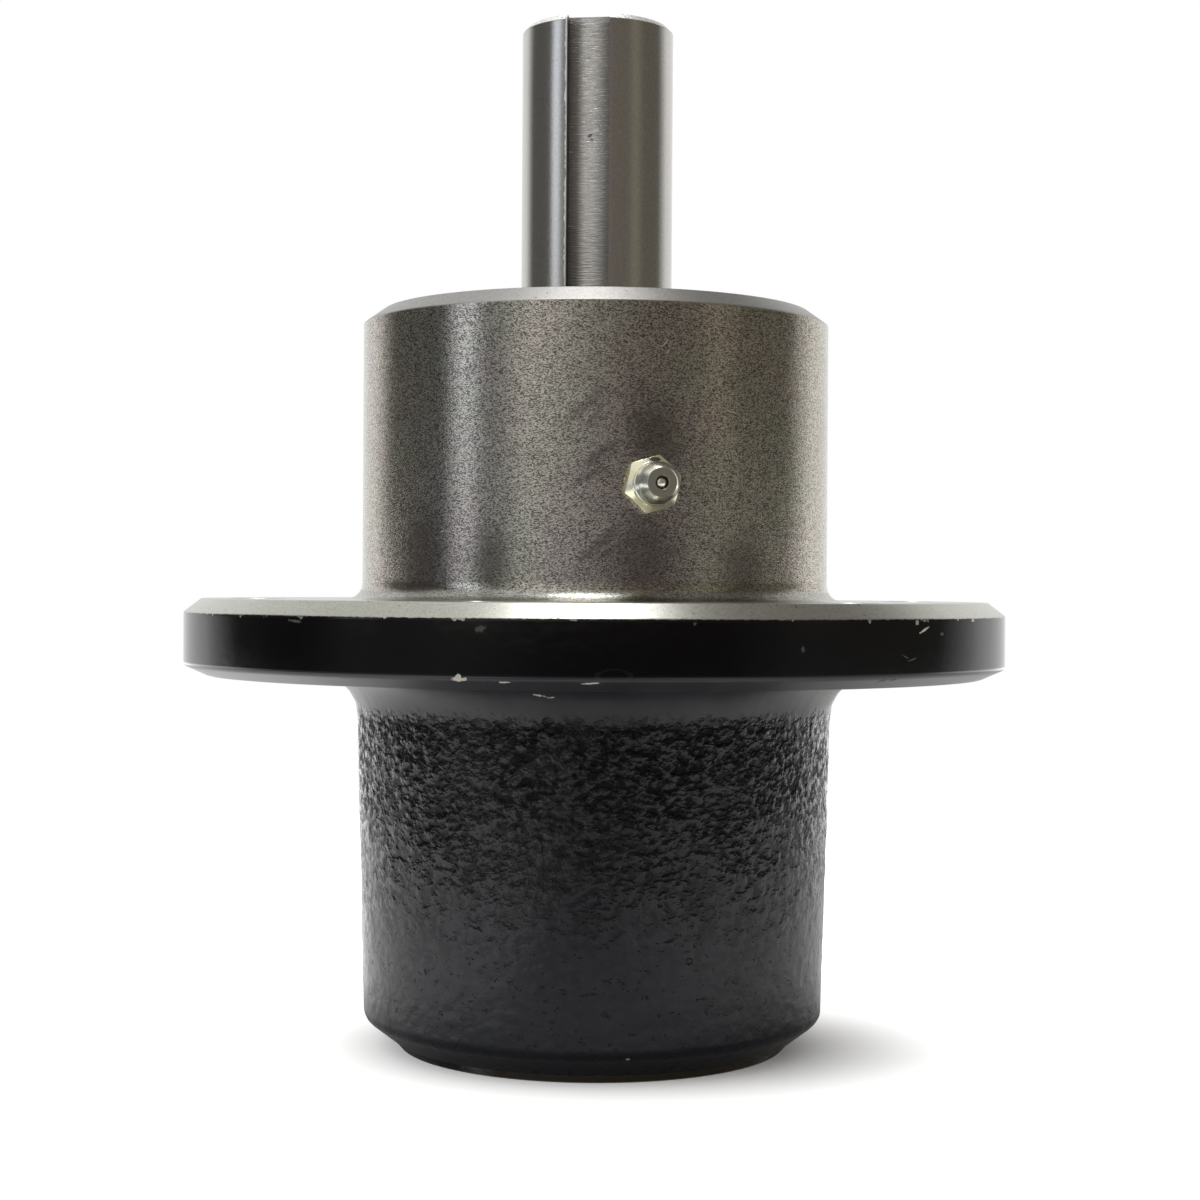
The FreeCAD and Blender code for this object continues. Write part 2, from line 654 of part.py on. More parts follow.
def grease_fitting():
    """The nipple: a hexagon, a shank and head turned round it, and a stepped bore down the middle."""
    body = new_body("grease_fitting")
    corner_r = "(fitting_hexagon / 2 / cos(30))"
    hexagon = new_sketch(
        body, "hexagon_outline", "XY_Plane", offset=SEAT,
        turn_axis=Vector(0, 0, 1), turn="fitting_clocking + port_angle",
    )
    draw_outline(hexagon, [
        (f"{corner_r} * cos({60 * k})", f"{corner_r} * sin({60 * k})" if k % 3 else "0")
        for k in range(6)
    ])
    pad = body.newObject("PartDesign::Pad", "hexagon")
    pad.Profile = hexagon
    pad.setExpression("Length", formula("fitting_hexagon_height"))
    doc.recompute()

    corners = new_sketch(body, "hexagon_corner_section")
    flat_r = "fitting_hexagon / 2"
    beyond_r = "fitting_hexagon"
    draw_outline(corners, [
        (flat_r, HEXAGON_TOP),
        (beyond_r, f"{HEXAGON_TOP} - fitting_hexagon / 2 * tan(30)"),
        (beyond_r, f"{HEXAGON_TOP} + fitting_hexagon"),
        (flat_r, f"{HEXAGON_TOP} + fitting_hexagon"),
    ])
    turn_profile(body, corners, "hexagon_corners", "Groove")

    outside = new_sketch(body, "fitting_section")
    head_band = "(fitting_head_height - fitting_neck_height)"
    draw_outline(outside, [
        ("0", "0"),
        ("fitting_thread / 2 - fitting_thread_chamfer", "0"),
        ("fitting_thread / 2", "fitting_thread_chamfer"),
        ("fitting_thread / 2", SEAT),
        ("fitting_shoulder / 2", SEAT),
        ("fitting_shoulder / 2", f"{HEXAGON_TOP} + fitting_shoulder_height"),
        ("fitting_neck / 2", f"{HEXAGON_TOP} + fitting_neck_height"),
        ("fitting_head / 2", f"{HEXAGON_TOP} + fitting_head_height - {head_band} / 3"),
        ("fitting_head / 2", f"{HEXAGON_TOP} + fitting_head_height + {head_band} / 3"),
        ("fitting_tip / 2", TIP),
        ("0", TIP),
    ])
    turn_profile(body, outside, "fitting_turned")

    bore = new_sketch(body, "fitting_bore_section")
    draw_outline(bore, [
        ("0", "0"),
        ("fitting_passage / 2", "0"),
        ("fitting_passage / 2", SPRING_SEAT),
        ("fitting_bore / 2", SPRING_SEAT),
        ("fitting_bore / 2", BALL_SEAT),
        ("fitting_mouth / 2", BALL_SEAT),
        ("fitting_mouth / 2", TIP),
        ("0", TIP),
    ])
    turn_profile(body, bore, "fitting_bored", "Groove")
    place_on_port(body, "0")
    return body


def grease_check_ball():
    ball = doc.addObject("Part::Sphere", "grease_check_ball")
    ball.Label = "grease_check_ball"
    ball.setExpression("Radius", formula("ball_diameter / 2"))
    place_on_port(ball, BALL_UP)
    return ball


def grease_check_spring():
    """A coil of round wire from the seat in the bore to the underside of the ball."""
    coil_r = "((spring_outside - spring_wire) / 2)"
    start = f"({SPRING_SEAT} + spring_wire / 2)"
    ball_dip = f"sqrt(((ball_diameter + spring_wire) / 2) ^ 2 - {coil_r} ^ 2)"
    height = f"({BALL_UP} - {ball_dip} - {start} - ball_play)"
    spine = doc.addObject("Part::Helix", "check_spring_line")
    spine.setExpression("Radius", formula(coil_r))
    spine.setExpression("Height", formula(height))
    spine.setExpression("Pitch", formula(f"{height} / spring_turns"))
    wire = doc.addObject("Part::Circle", "check_spring_wire")
    wire.setExpression("Radius", formula("spring_wire / 2"))
    wire.setExpression("Placement.Base.x", formula(coil_r))
    wire.Placement.Rotation = Rotation(Vector(1, 0, 0), 90)
    spring = doc.addObject("Part::Sweep", "grease_check_spring")
    spring.Label = "grease_check_spring"
    spring.Sections = [wire]
    spring.Spine = spine
    spring.Solid = True
    spring.Frenet = True
    place_on_port(spring, start)
    return spring


pieces = [
    spindle_housing(),
    spindle_shaft(),
    upper_wear_sleeve(),
    bearing_spacer(),
    grease_fitting(),
    grease_check_ball(),
    grease_check_spring(),
]
for end in ("lower", "upper"):
    pieces += [
        bearing_cup(end),
        bearing_cone(end),
        bearing_rollers(end),
        bearing_cage(end),
        seal_case(end),
        seal_lip(end),
        seal_spring(end),
    ]
doc.recompute()


# Every object has to be sound, and every cut has to have taken material away
faults = [item.Name for item in doc.Objects if {"Invalid", "Error"} & set(item.State)]
for piece in pieces:
    if piece.Shape.isNull() or not piece.Shape.isValid() or not piece.Shape.Solids:
        faults.append(piece.Label)
for item in doc.Objects:
    if item.TypeId in ("PartDesign::Pocket", "PartDesign::Groove"):
        if item.Shape.Volume > item.BaseFeature.Shape.Volume - 1e-3:
            faults.append(f"{item.Name} cuts nothing")
if faults:
    raise RuntimeError("faulty: " + ", ".join(faults))

os.makedirs("parts", exist_ok=True)
for piece in pieces:
    piece.Shape.exportStep(f"parts/{piece.Label}.step")
    print(piece.Label, len(piece.Shape.Solids), "solid,", round(piece.Shape.Volume, 1), "mm3")
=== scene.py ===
# %% [markdown]
# # A mower deck spindle
# The object is the bearing unit that carries one blade under a mower deck: a flanged iron casting, a keyed
# steel shaft that stands out of its top, and a small grease fitting on the turned barrel.
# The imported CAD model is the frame. Every piece made below either replaces a CAD node or gives it a finish.

# %% Load the frame
import math

import bpy
import numpy as np
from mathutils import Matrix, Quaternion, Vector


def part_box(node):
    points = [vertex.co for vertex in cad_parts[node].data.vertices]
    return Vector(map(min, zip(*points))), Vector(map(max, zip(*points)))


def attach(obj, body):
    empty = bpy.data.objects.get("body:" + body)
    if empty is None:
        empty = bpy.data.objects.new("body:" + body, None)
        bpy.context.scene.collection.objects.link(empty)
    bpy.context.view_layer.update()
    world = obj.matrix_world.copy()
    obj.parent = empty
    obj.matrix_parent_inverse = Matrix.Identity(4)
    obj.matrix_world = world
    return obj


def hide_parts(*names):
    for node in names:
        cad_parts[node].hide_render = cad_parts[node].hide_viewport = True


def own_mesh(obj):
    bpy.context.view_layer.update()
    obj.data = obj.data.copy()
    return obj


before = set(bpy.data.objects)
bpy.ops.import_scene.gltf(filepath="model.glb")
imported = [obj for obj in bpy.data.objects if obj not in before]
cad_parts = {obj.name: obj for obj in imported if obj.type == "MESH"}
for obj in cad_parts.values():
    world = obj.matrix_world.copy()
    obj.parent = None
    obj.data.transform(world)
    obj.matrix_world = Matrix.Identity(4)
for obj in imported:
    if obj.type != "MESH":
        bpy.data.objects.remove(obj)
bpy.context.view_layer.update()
MM = 0.001


def node_box_mm(node):
    """The lowest and highest corner of a CAD node, in millimetres."""
    low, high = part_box(node)
    return np.array(low) / MM, np.array(high) / MM


# %% [markdown]
# ## The camera
# The photograph was taken from close by, about level with the flange: the flange's top shows as a thin line
# and the barrel's ends bow away from it. A long lens would flatten that, so the camera stands where the
# bowing puts it, and only its small tilt and roll are added.

# %% Set up the camera
CAMERA_DISTANCE = 416.4
CAMERA_HEIGHT = 86.3
CAMERA_AZIMUTH = math.radians(7.5)
CAMERA_PITCH = math.radians(0.315)
CAMERA_ROLL = math.radians(0.36)
CAMERA_LENS = 65.53
CAMERA_SHIFT = 0.0046

camera_data = bpy.data.cameras.new("camera")
camera_data.lens = CAMERA_LENS
camera_data.sensor_width = 36.0
camera_data.shift_x = CAMERA_SHIFT
camera = bpy.data.objects.new("camera", camera_data)
bpy.context.scene.collection.objects.link(camera)
camera.rotation_mode = "QUATERNION"
camera.location = (
    CAMERA_DISTANCE * math.sin(CAMERA_AZIMUTH) * MM,
    -CAMERA_DISTANCE * math.cos(CAMERA_AZIMUTH) * MM,
    CAMERA_HEIGHT * MM,
)
look = Quaternion((0, 0, 1), CAMERA_AZIMUTH)
look = look @ Quaternion((1, 0, 0), math.pi / 2 - CAMERA_PITCH)
look = look @ Quaternion((0, 0, 1), CAMERA_ROLL)
camera.rotation_quaternion = look
bpy.context.scene.camera = camera
bpy.context.scene.view_settings.view_transform = "Standard"
print("Camera at", [round(part, 4) for part in camera.location])

# %% [markdown]
# ## Shader maths
# A finish is mostly arithmetic: a mask times a colour, a height plus some noise. Written as nodes it is hard
# to read, so one class stands for a socket and turns Python's operators into Math nodes.


# %% Wrap a socket
def math_method(operation, flipped=False):
    """A method that joins a wire to other values by a Math node. The wire comes last if flipped."""

    def method(self, *others):
        parts = (*others, self) if flipped else (self, *others)
        return calculate(self.tree, operation, *parts)

    return method


class Wire:
    """A value in a node tree. An operator on it adds a Math node, also when a number comes first."""

    __add__ = __radd__ = math_method("ADD")
    __mul__ = __rmul__ = math_method("MULTIPLY")
    __sub__ = math_method("SUBTRACT")
    __rsub__ = math_method("SUBTRACT", flipped=True)
    __truediv__ = math_method("DIVIDE")
    power = math_method("POWER")
    absolute = math_method("ABSOLUTE")
    least = math_method("MINIMUM")
    most = math_method("MAXIMUM")

    def __init__(self, tree, socket):
        self.tree = tree
        self.socket = socket

    def between(self, low, high):
        """0 up to low, 1 from high on, and a smooth step between. With low above high it falls."""
        if low > high:
            return 1 - self.between(high, low)
        limits = {"Value": self, "From Min": low, "From Max": high}
        return add_node(self.tree, "ShaderNodeMapRange", {"interpolation_type": "SMOOTHSTEP"}, limits)


def pick(sockets, key):
    """The socket with that number, identifier or name."""
    if isinstance(key, int):
        return sockets[key]
    for socket in sockets:
        if socket.identifier == key:
            return socket
    return sockets[key]


def add_node(tree, kind, settings=None, values=None, output=0):
    """One node: its settings first, then the values or links of its sockets. Gives one output as a Wire.

    Colours are linear red, green and blue, and get full alpha here.
    """
    node = tree.nodes.new(kind)
    for name, setting in (settings or {}).items():
        if name == "stops":
            ramp = node.color_ramp
            while len(ramp.elements) < len(setting):
                ramp.elements.new(0.5)
            for element, (place, shade) in zip(ramp.elements, setting):
                element.position = place
                element.color = (*shade, 1.0)
        else:
            setattr(node, name, setting)
    for key, value in (values or {}).items():
        socket = pick(node.inputs, key)
        if isinstance(value, Wire):
            tree.links.new(value.socket, socket)
        else:
            socket.default_value = (*value, 1.0) if socket.type == "RGBA" else value
    return Wire(tree, pick(node.outputs, output)) if len(node.outputs) else None


def calculate(tree, operation, *parts):
    """One Math node on wires and numbers."""
    return add_node(tree, "ShaderNodeMath", {"operation": operation}, dict(enumerate(parts)))


# %% Helpers for finishes
def grain(place, per_mm, detail=2.0, roughness=0.5):
    """Soft noise from 0 to 1 with that many lumps to a millimetre."""
    values = {"Vector": place, "Scale": per_mm, "Detail": detail, "Roughness": roughness}
    return add_node(place.tree, "ShaderNodeTexNoise", {}, values, "Fac")


def stretched(place, across, around, along):
    """The place with each axis scaled. Noise on it is drawn out along the small factors."""
    factors = (across, around, along)
    return add_node(place.tree, "ShaderNodeVectorMath", {"operation": "MULTIPLY"}, {0: place, 1: factors})


def tint(factor, first, second):
    """The first colour at factor 0 and the second at 1."""
    values = {"Factor_Float": factor, "A_Color": first, "B_Color": second}
    return add_node(factor.tree, "ShaderNodeMix", {"data_type": "RGBA"}, values, "Result_Color")


def layered(base, *layers):
    """The base colour with each (mask, colour) laid over it in turn."""
    for mask, shade in layers:
        base = tint(mask, base, shade)
    return base


def new_finish(name):
    """An empty material, its object coordinates in millimetres, and the three of them singly."""
    material = bpy.data.materials.new(name)
    material.use_nodes = True
    tree = material.node_tree
    tree.nodes.clear()
    metres = add_node(tree, "ShaderNodeTexCoord", output="Object")
    place = stretched(metres, 1 / MM, 1 / MM, 1 / MM)
    x, y, z = (add_node(tree, "ShaderNodeSeparateXYZ", {}, {0: place}, axis) for axis in "XYZ")
    return material, place, x, y, z


def bump(height):
    """A normal from a height in millimetres."""
    return add_node(height.tree, "ShaderNodeBump", {}, {"Height": height, "Strength": 1.0, "Distance": MM})


def principled(tree, **sockets):
    """A Principled shader. Socket names are written with underscores for their spaces."""
    values = {name.replace("_", " "): value for name, value in sockets.items()}
    return add_node(tree, "ShaderNodeBsdfPrincipled", {}, values)


def mixed(factor, first, second):
    """The first surface at factor 0 and the second at 1."""
    return add_node(factor.tree, "ShaderNodeMixShader", {}, {0: factor, 1: first, 2: second})


def ray_is(tree, kind):
    """1 for rays of that kind, Camera, Glossy or Transmission, and 0 for others."""
    return add_node(tree, "ShaderNodeLightPath", output=f"Is {kind} Ray")


def end_finish(surface):
    """Put the surface on the material's output."""
    add_node(surface.tree, "ShaderNodeOutputMaterial", {}, {"Surface": surface})


# %% [markdown]
# ## The stage
# The background of the photograph is plain white, and the metal shows what stood round the object: a white
# backdrop behind it, a bright strip on the left, dim room in front, a dark room on the right. The world is
# painted with those bands by direction, and only the camera sees plain white, also through the holes.

# %% Paint the world
world = bpy.data.worlds.new("studio")
world.use_nodes = True
bpy.context.scene.world = world
sky = world.node_tree
sky.nodes.clear()
way = add_node(sky, "ShaderNodeTexCoord", output="Generated")
way_x, way_y, way_z = (add_node(sky, "ShaderNodeSeparateXYZ", {}, {0: way}, axis) for axis in "XYZ")
side = way_x * math.cos(CAMERA_AZIMUTH) + way_y * math.sin(CAMERA_AZIMUTH)
front = way_x * math.sin(CAMERA_AZIMUTH) - way_y * math.cos(CAMERA_AZIMUTH)
turn_about = calculate(sky, "ARCTAN2", side, front) / (2 * math.pi) + 0.5

# Degrees round from the camera, to its right, and the colour of the room there. Behind all is white
ROOM = [
    (-136, (1.0, 1.0, 1.0)),
    (-117, (0.13, 0.13, 0.12)),
    (-70, (0.13, 0.13, 0.125)),
    (-57, (0.27, 0.27, 0.26)),
    (-46, (0.33, 0.33, 0.31)),
    (-33, (0.76, 0.75, 0.69)),
    (-10, (0.50, 0.48, 0.445)),
    (2, (0.34, 0.31, 0.285)),
    (22, (0.20, 0.175, 0.155)),
    (48, (0.185, 0.17, 0.145)),
    (57, (0.28, 0.26, 0.21)),
    (64, (0.28, 0.26, 0.21)),
    (74, (0.165, 0.155, 0.125)),
    (108, (0.16, 0.15, 0.13)),
    (130, (1.0, 1.0, 0.98)),
]
# Just under the camera's height the room in front is nearly black, and lower down the sheet brightens it
DIM_ROOM = [
    (-132, (1.0, 1.0, 1.0)),
    (-112, (0.05, 0.05, 0.05)),
    (-86, (0.05, 0.05, 0.05)),
    (-66, (0.16, 0.16, 0.16)),
    (-40, (0.19, 0.185, 0.18)),
    (-12, (0.065, 0.055, 0.058)),
    (35, (0.065, 0.055, 0.058)),
    (55, (0.19, 0.18, 0.18)),
    (82, (0.16, 0.15, 0.14)),
    (106, (0.10, 0.10, 0.095)),
    (130, (1.0, 1.0, 1.0)),
]
LOW_ROOM = [
    (-110, (1.0, 1.0, 1.02)),
    (-84, (0.48, 0.505, 0.60)),
    (-54, (0.46, 0.485, 0.60)),
    (0, (0.19, 0.20, 0.275)),
    (54, (0.48, 0.485, 0.55)),
    (84, (0.76, 0.76, 0.78)),
    (108, (1.0, 1.0, 1.0)),
]
# Where each begins and is complete, by how far up a ray points. STRIP and GLARE are degrees round
DIM_FROM = (0.0, -0.02)
LOW_FROM = (-0.03, -0.10)
GROUND_FROM = (-0.12, -0.35)
CEILING_FROM = (0.45, 0.75)
CEILING_ACROSS = (-0.25, 0.30)
STRIP = (-77.0, -55.0)
STRIP_SOFT = 8.0
STRIP_FROM = (-0.012, 0.012)
STRIP_HIGH_FROM = (0.10, 0.19)
GLARE = (94.0, 122.0)
GLARE_TOP = (-0.03, -0.08)
GLARE_END = (-0.17, -0.13)
STRIP_LIGHT = (0.86, 0.86, 0.87)
STRIP_HIGH_LIGHT = (1.20, 1.28, 1.42)
GLARE_LIGHT = (2.25, 2.27, 2.32)
CEILING_LEFT = (0.80, 0.80, 0.78)
CEILING_RIGHT = (0.22, 0.21, 0.19)
GROUND_LIGHT = (0.50, 0.50, 0.49)
WHITE = (1.0, 1.0, 1.0)


def share_round(degrees):
    """Degrees from the camera as a share of the turn, which starts behind the object."""
    return degrees / 360 + 0.5


def band_round(bands):
    """The colour of one band of the room for the way that a ray goes."""
    whole = [(-180, WHITE), *bands, (180, WHITE)]
    stops = [(share_round(angle), shade) for angle, shade in whole]
    return add_node(sky, "ShaderNodeValToRGB", {"stops": stops}, {"Fac": turn_about})


strip_side = turn_about.between(share_round(STRIP[0]), share_round(STRIP[0] + STRIP_SOFT))
strip_side = strip_side * turn_about.between(share_round(STRIP[1]), share_round(STRIP[1] - STRIP_SOFT))
strip = tint(way_z.between(*STRIP_HIGH_FROM), STRIP_LIGHT, STRIP_HIGH_LIGHT)
from_front = (turn_about - 0.5).absolute()
glare = way_z.between(*GLARE_TOP) * way_z.between(*GLARE_END)
glare = glare * from_front.between(GLARE[0] / 360, GLARE[1] / 360)
ceiling = tint(side.between(*CEILING_ACROSS), CEILING_LEFT, CEILING_RIGHT)
backdrop = layered(
    band_round(ROOM),
    (strip_side * way_z.between(*STRIP_FROM), strip),
    (way_z.between(*DIM_FROM), band_round(DIM_ROOM)),
    (way_z.between(*LOW_FROM), band_round(LOW_ROOM)),
    (glare, GLARE_LIGHT),
    (way_z.between(*CEILING_FROM), ceiling),
    (way_z.between(*GROUND_FROM), GROUND_LIGHT),
    ((ray_is(sky, "Camera") + ray_is(sky, "Transmission")).least(1.0), WHITE),
)
light = add_node(sky, "ShaderNodeBackground", {}, {"Color": backdrop, "Strength": 1.0})
add_node(sky, "ShaderNodeOutputWorld", {}, {"Surface": light})
print("World bands:", len(ROOM) + len(DIM_ROOM) + len(LOW_ROOM))

# %% Hang the softbox
SOFTBOX_SIZE = (310.0, 780.0)
SOFTBOX_PLACE = (-42.0, -50.0, 1150.0)
SOFTBOX_WATTS = 4.2

softbox_data = bpy.data.lights.new("softbox", "AREA")
softbox_data.shape = "RECTANGLE"
softbox_data.size = SOFTBOX_SIZE[0] * MM
softbox_data.size_y = SOFTBOX_SIZE[1] * MM
softbox_data.energy = SOFTBOX_WATTS
softbox = bpy.data.objects.new("softbox", softbox_data)
softbox.location = [part * MM for part in SOFTBOX_PLACE]
bpy.context.scene.collection.objects.link(softbox)
print("Softbox at", SOFTBOX_PLACE)

# %% [markdown]
# ## Surfaces from arrays
# Nearly every piece here was turned on a lathe, so a section carried round the axis gives its form. The
# section's corners are rounded by arcs, because a real edge is never perfectly sharp and catches light.


# %% Section and mesh helpers
ARC_STEP = math.radians(20)
LEAST_TURN = 0.01
HOLD = 0.3
LEAST_HELD_RUN = 0.8
SHARP = 35


def section(corners):
    """Points along a closed broken line of (radius, height, rounding, step) corners.

    A rounding leaves the line at rounding * tan(half the turn) before the corner and joins it as far behind,
    on an arc about the centre between. Each straight run is divided evenly by the step of the corner that it
    leaves, with one more point close to each end to hold the shading flat.
    """
    spots = np.array([corner[:2] for corner in corners], float)
    ahead = np.roll(spots, -1, axis=0) - spots
    ahead /= np.maximum(np.linalg.norm(ahead, axis=1, keepdims=True), 1e-9)
    stretches = []
    for index, (_, _, rounding, step) in enumerate(corners):
        before = ahead[index - 1]
        after = ahead[index]
        turn = math.atan2(before[0] * after[1] - before[1] * after[0], before @ after)
        if rounding > 0 and abs(turn) > LEAST_TURN:
            reach = rounding * math.tan(abs(turn) / 2)
            inward = np.array([-before[1], before[0]]) * math.copysign(1, turn)
            centre = spots[index] - before * reach + inward * rounding
            count = max(2, math.ceil(abs(turn) / ARC_STEP))
            angles = np.linspace(0, turn, count + 1)[:, None]
            spoke = -inward * rounding
            cross = np.array([-spoke[1], spoke[0]])
            arc = centre + spoke * np.cos(angles) + cross * np.sin(angles)
        else:
            arc = spots[index][None]
        stretches.append((arc, step))
    points = []
    for index, (arc, step) in enumerate(stretches):
        following = stretches[(index + 1) % len(stretches)][0][0]
        run = np.linalg.norm(following - arc[-1])
        count = max(1, round(run / step))
        shares = np.linspace(0, 1, count + 1)[1:-1]
        hold = min(HOLD, run / 4)
        if len(arc) > 1 and run > LEAST_HELD_RUN:
            shares = np.unique(np.concatenate([[hold / run], shares, [1 - hold / run]]))
        points.append(arc)
        points.append(arc[-1] + (following - arc[-1]) * shares[:, None])
    return np.concatenate(points)


def carried_round(points, around):
    """Each section point (radius, height) goes round the Z axis: radius * sin, -radius * cos, height."""
    angles = np.arange(around) * (2 * math.pi / around)
    radius = points[:, None, 0]
    height = np.broadcast_to(points[:, None, 1], (len(points), around))
    return np.stack([radius * np.sin(angles), -radius * np.cos(angles), height], axis=-1)


def grid_faces(rows, columns, joined):
    """Four corners for each cell of a grid that closes along its columns and, if joined, along its rows."""
    last = rows if joined else rows - 1
    row, column = np.meshgrid(np.arange(last), np.arange(columns), indexing="ij")
    next_row = (row + 1) % rows
    next_column = (column + 1) % columns
    corners = [
        row * columns + column,
        row * columns + next_column,
        next_row * columns + next_column,
        next_row * columns + column,
    ]
    return np.stack(corners, axis=-1).reshape(-1, 4)


def signed_volume(points, faces):
    """A closed skin's volume: each face's corners span a wedge from the origin, positive if it faces out."""
    a, b, c, d = (points[faces[:, corner]] for corner in range(4))
    halves = np.cross(b, c) + np.cross(c, d)
    return np.einsum("ij,ij->i", a, halves).sum() / 6


def make_piece(name, grid, joined=True, sharp=SHARP):
    """A mesh object from a grid of points in millimetres, poles welded and faces turned outwards."""
    rows, columns = grid.shape[:2]
    points = grid.reshape(-1, 3) * MM
    faces = grid_faces(rows, columns, joined)
    if signed_volume(points, faces) < 0:
        faces = faces[:, ::-1]
    mesh = bpy.data.meshes.new(name)
    mesh.from_pydata(points.tolist(), [], faces.tolist())
    mesh.validate()
    piece = bpy.data.objects.new(name, mesh)
    bpy.context.scene.collection.objects.link(piece)
    if not joined:
        weld(piece)
    soften(piece, sharp)
    return piece


def applied(piece):
    """Bake the piece's modifiers into its mesh."""
    shown = bpy.context.evaluated_depsgraph_get()
    finished = bpy.data.meshes.new_from_object(piece.evaluated_get(shown))
    rough = piece.data
    piece.modifiers.clear()
    piece.data = finished
    bpy.data.meshes.remove(rough)


def weld(piece):
    """Merge the points that lie on each other, as all points of a pole do."""
    modifier = piece.modifiers.new("weld", "WELD")
    modifier.merge_threshold = 1e-6
    applied(piece)


def soften(piece, sharp):
    """Shade smoothly, but keep edges sharp that turn by more than this many degrees."""
    mesh = piece.data
    mesh.polygons.foreach_set("use_smooth", np.ones(len(mesh.polygons), bool))
    mesh.set_sharp_from_angle(angle=math.radians(sharp))
    mesh.update()


def cut_away(piece, cutters):
    """Take the cutters' volumes out of the piece, and the cutters out of the scene."""
    for cutter in cutters:
        modifier = piece.modifiers.new("cut", "BOOLEAN")
        modifier.operation = "DIFFERENCE"
        modifier.solver = "EXACT"
        modifier.object = cutter
    applied(piece)
    for cutter in cutters:
        bpy.data.objects.remove(cutter)
    soften(piece, SHARP)


def dress(piece, material, body, slot, *nodes):
    """Give a finished piece its material and its place in the frame."""
    piece.data.materials.clear()
    piece.data.materials.append(material)
    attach(piece, body)
    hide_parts(*nodes)
    triangles = sum(len(polygon.vertices) - 2 for polygon in piece.data.polygons)
    print(f"{piece.name}: {triangles} triangles")


# %% [markdown]
# ## The floor
# The floor must look white and still show the soft dark line where the foot stands on it. It is a plain
# white sheet that glows a little for the camera and for mirrored rays. Near the foot that glow fades out,
# further to the right, which paints the foot's soft shadow; for mirrored rays the glow is painted brighter
# to the sides and in a ring near the foot.

# %% Lay the floor
FLOOR_R = 420.0
FLOOR_Z = -0.02
FLOOR_AROUND = 96
FLOOR_GLOW = 0.95
# The glow fades out within SHADE_R of the foot, a painted shadow drawn out to the right. The MIRRORED and
# NEAR values paint brighter glow that only mirrored rays see
SHADE_R = (20.0, 58.0)
SHADE_DRAWN_OUT = 0.735
SHADE_LEFT = 0.95
MIRRORED_R = (38.0, 120.0)
MIRRORED_SHARE = 0.08
MIRRORED_LEFT = (-22.0, -100.0)
MIRRORED_RIGHT = (40.0, 140.0)
MIRRORED_RIGHT_SHARE = 0.5
NEAR_R = (42.0, 62.0)
NEAR_END_R = (140.0, 76.0)
NEAR_SHARE = 0.28

floor_rows = np.array([[0.0, FLOOR_Z], [FLOOR_R, FLOOR_Z]])
floor = make_piece("floor", carried_round(floor_rows, FLOOR_AROUND), joined=False)
sheet, _, x, y, _ = new_finish("white_sheet")
tree = sheet.node_tree
aside = x.most(0.0) * SHADE_DRAWN_OUT + x.least(0.0) * SHADE_LEFT
from_foot = (aside * aside + y * y).power(0.5)
# Painted reflections: mirrored rays see the sheet glow brighter to the sides and in a ring near the foot
painted_side_glow = x.between(*MIRRORED_LEFT) + x.between(*MIRRORED_RIGHT) * MIRRORED_RIGHT_SHARE
painted_near_glow = from_foot.between(*NEAR_R) * from_foot.between(*NEAR_END_R) * NEAR_SHARE
mirrored = from_foot.between(*MIRRORED_R) * (painted_side_glow + MIRRORED_SHARE) + painted_near_glow
shown = ray_is(tree, "Camera") + ray_is(tree, "Glossy") * mirrored + ray_is(tree, "Transmission")
# The painted shadow: round the foot the glow fades out
shown = shown.least(1.0) * from_foot.between(*SHADE_R)
white = principled(tree, Base_Color=(0.86, 0.86, 0.85), Roughness=0.9)
glow = add_node(tree, "ShaderNodeEmission", {}, {"Color": WHITE, "Strength": shown * FLOOR_GLOW})
end_finish(add_node(tree, "ShaderNodeAddShader", {}, {0: white, 1: glow}))
floor.data.materials.append(sheet)
print("Floor radius", FLOOR_R)

# %% [markdown]
# ## The casting
# The real housing is cast iron. Above and on the flange it was turned bright, below it kept its sand-cast
# skin under black paint. One section carried round the axis makes it. Where the skin is as cast, the points
# move in and out by noise, because lumps of that size change the outline and the highlights.

# %% Section of the housing
_, housing_high = node_box_mm("spindle_housing")
HOUSING_TOP = housing_high[2]
FLANGE_R = housing_high[0]
UPPER_R = 44.0
FLANGE_TOP = 84.0
FLANGE_BOTTOM = 70.0
CAST_TOP_R = 44.9
CAST_END_R = 43.3
FOOT_R = 37.8
FOOT_LAND = 1.6
FOOT_TOP = 5.8
SEAL_BORE_R = 31.77
CUP_BORE_R = 29.586
CAVITY_R = 26.0
SEAL_DEPTH = 9.5
CUP_BACK = 26.875
EDGE = 0.35
CAST_STEP = 0.62
# Chamfers, in and along the axis, and the radii of roundings
TOP_CHAMFER = (3.6, 2.6)
FLANGE_CHAMFER = (3.2, 2.5)
RIM_CHAMFER = (4.0, 1.8)
BORE_CHAMFER = 0.8
BARREL_FILLET = 3.0
RIM_ROUND = 0.8
CAST_FILLET = 8.0
BEVEL_ROUND = 2.5
FOOT_ROUND = 2.0
FOOT_LEAN = 1.4

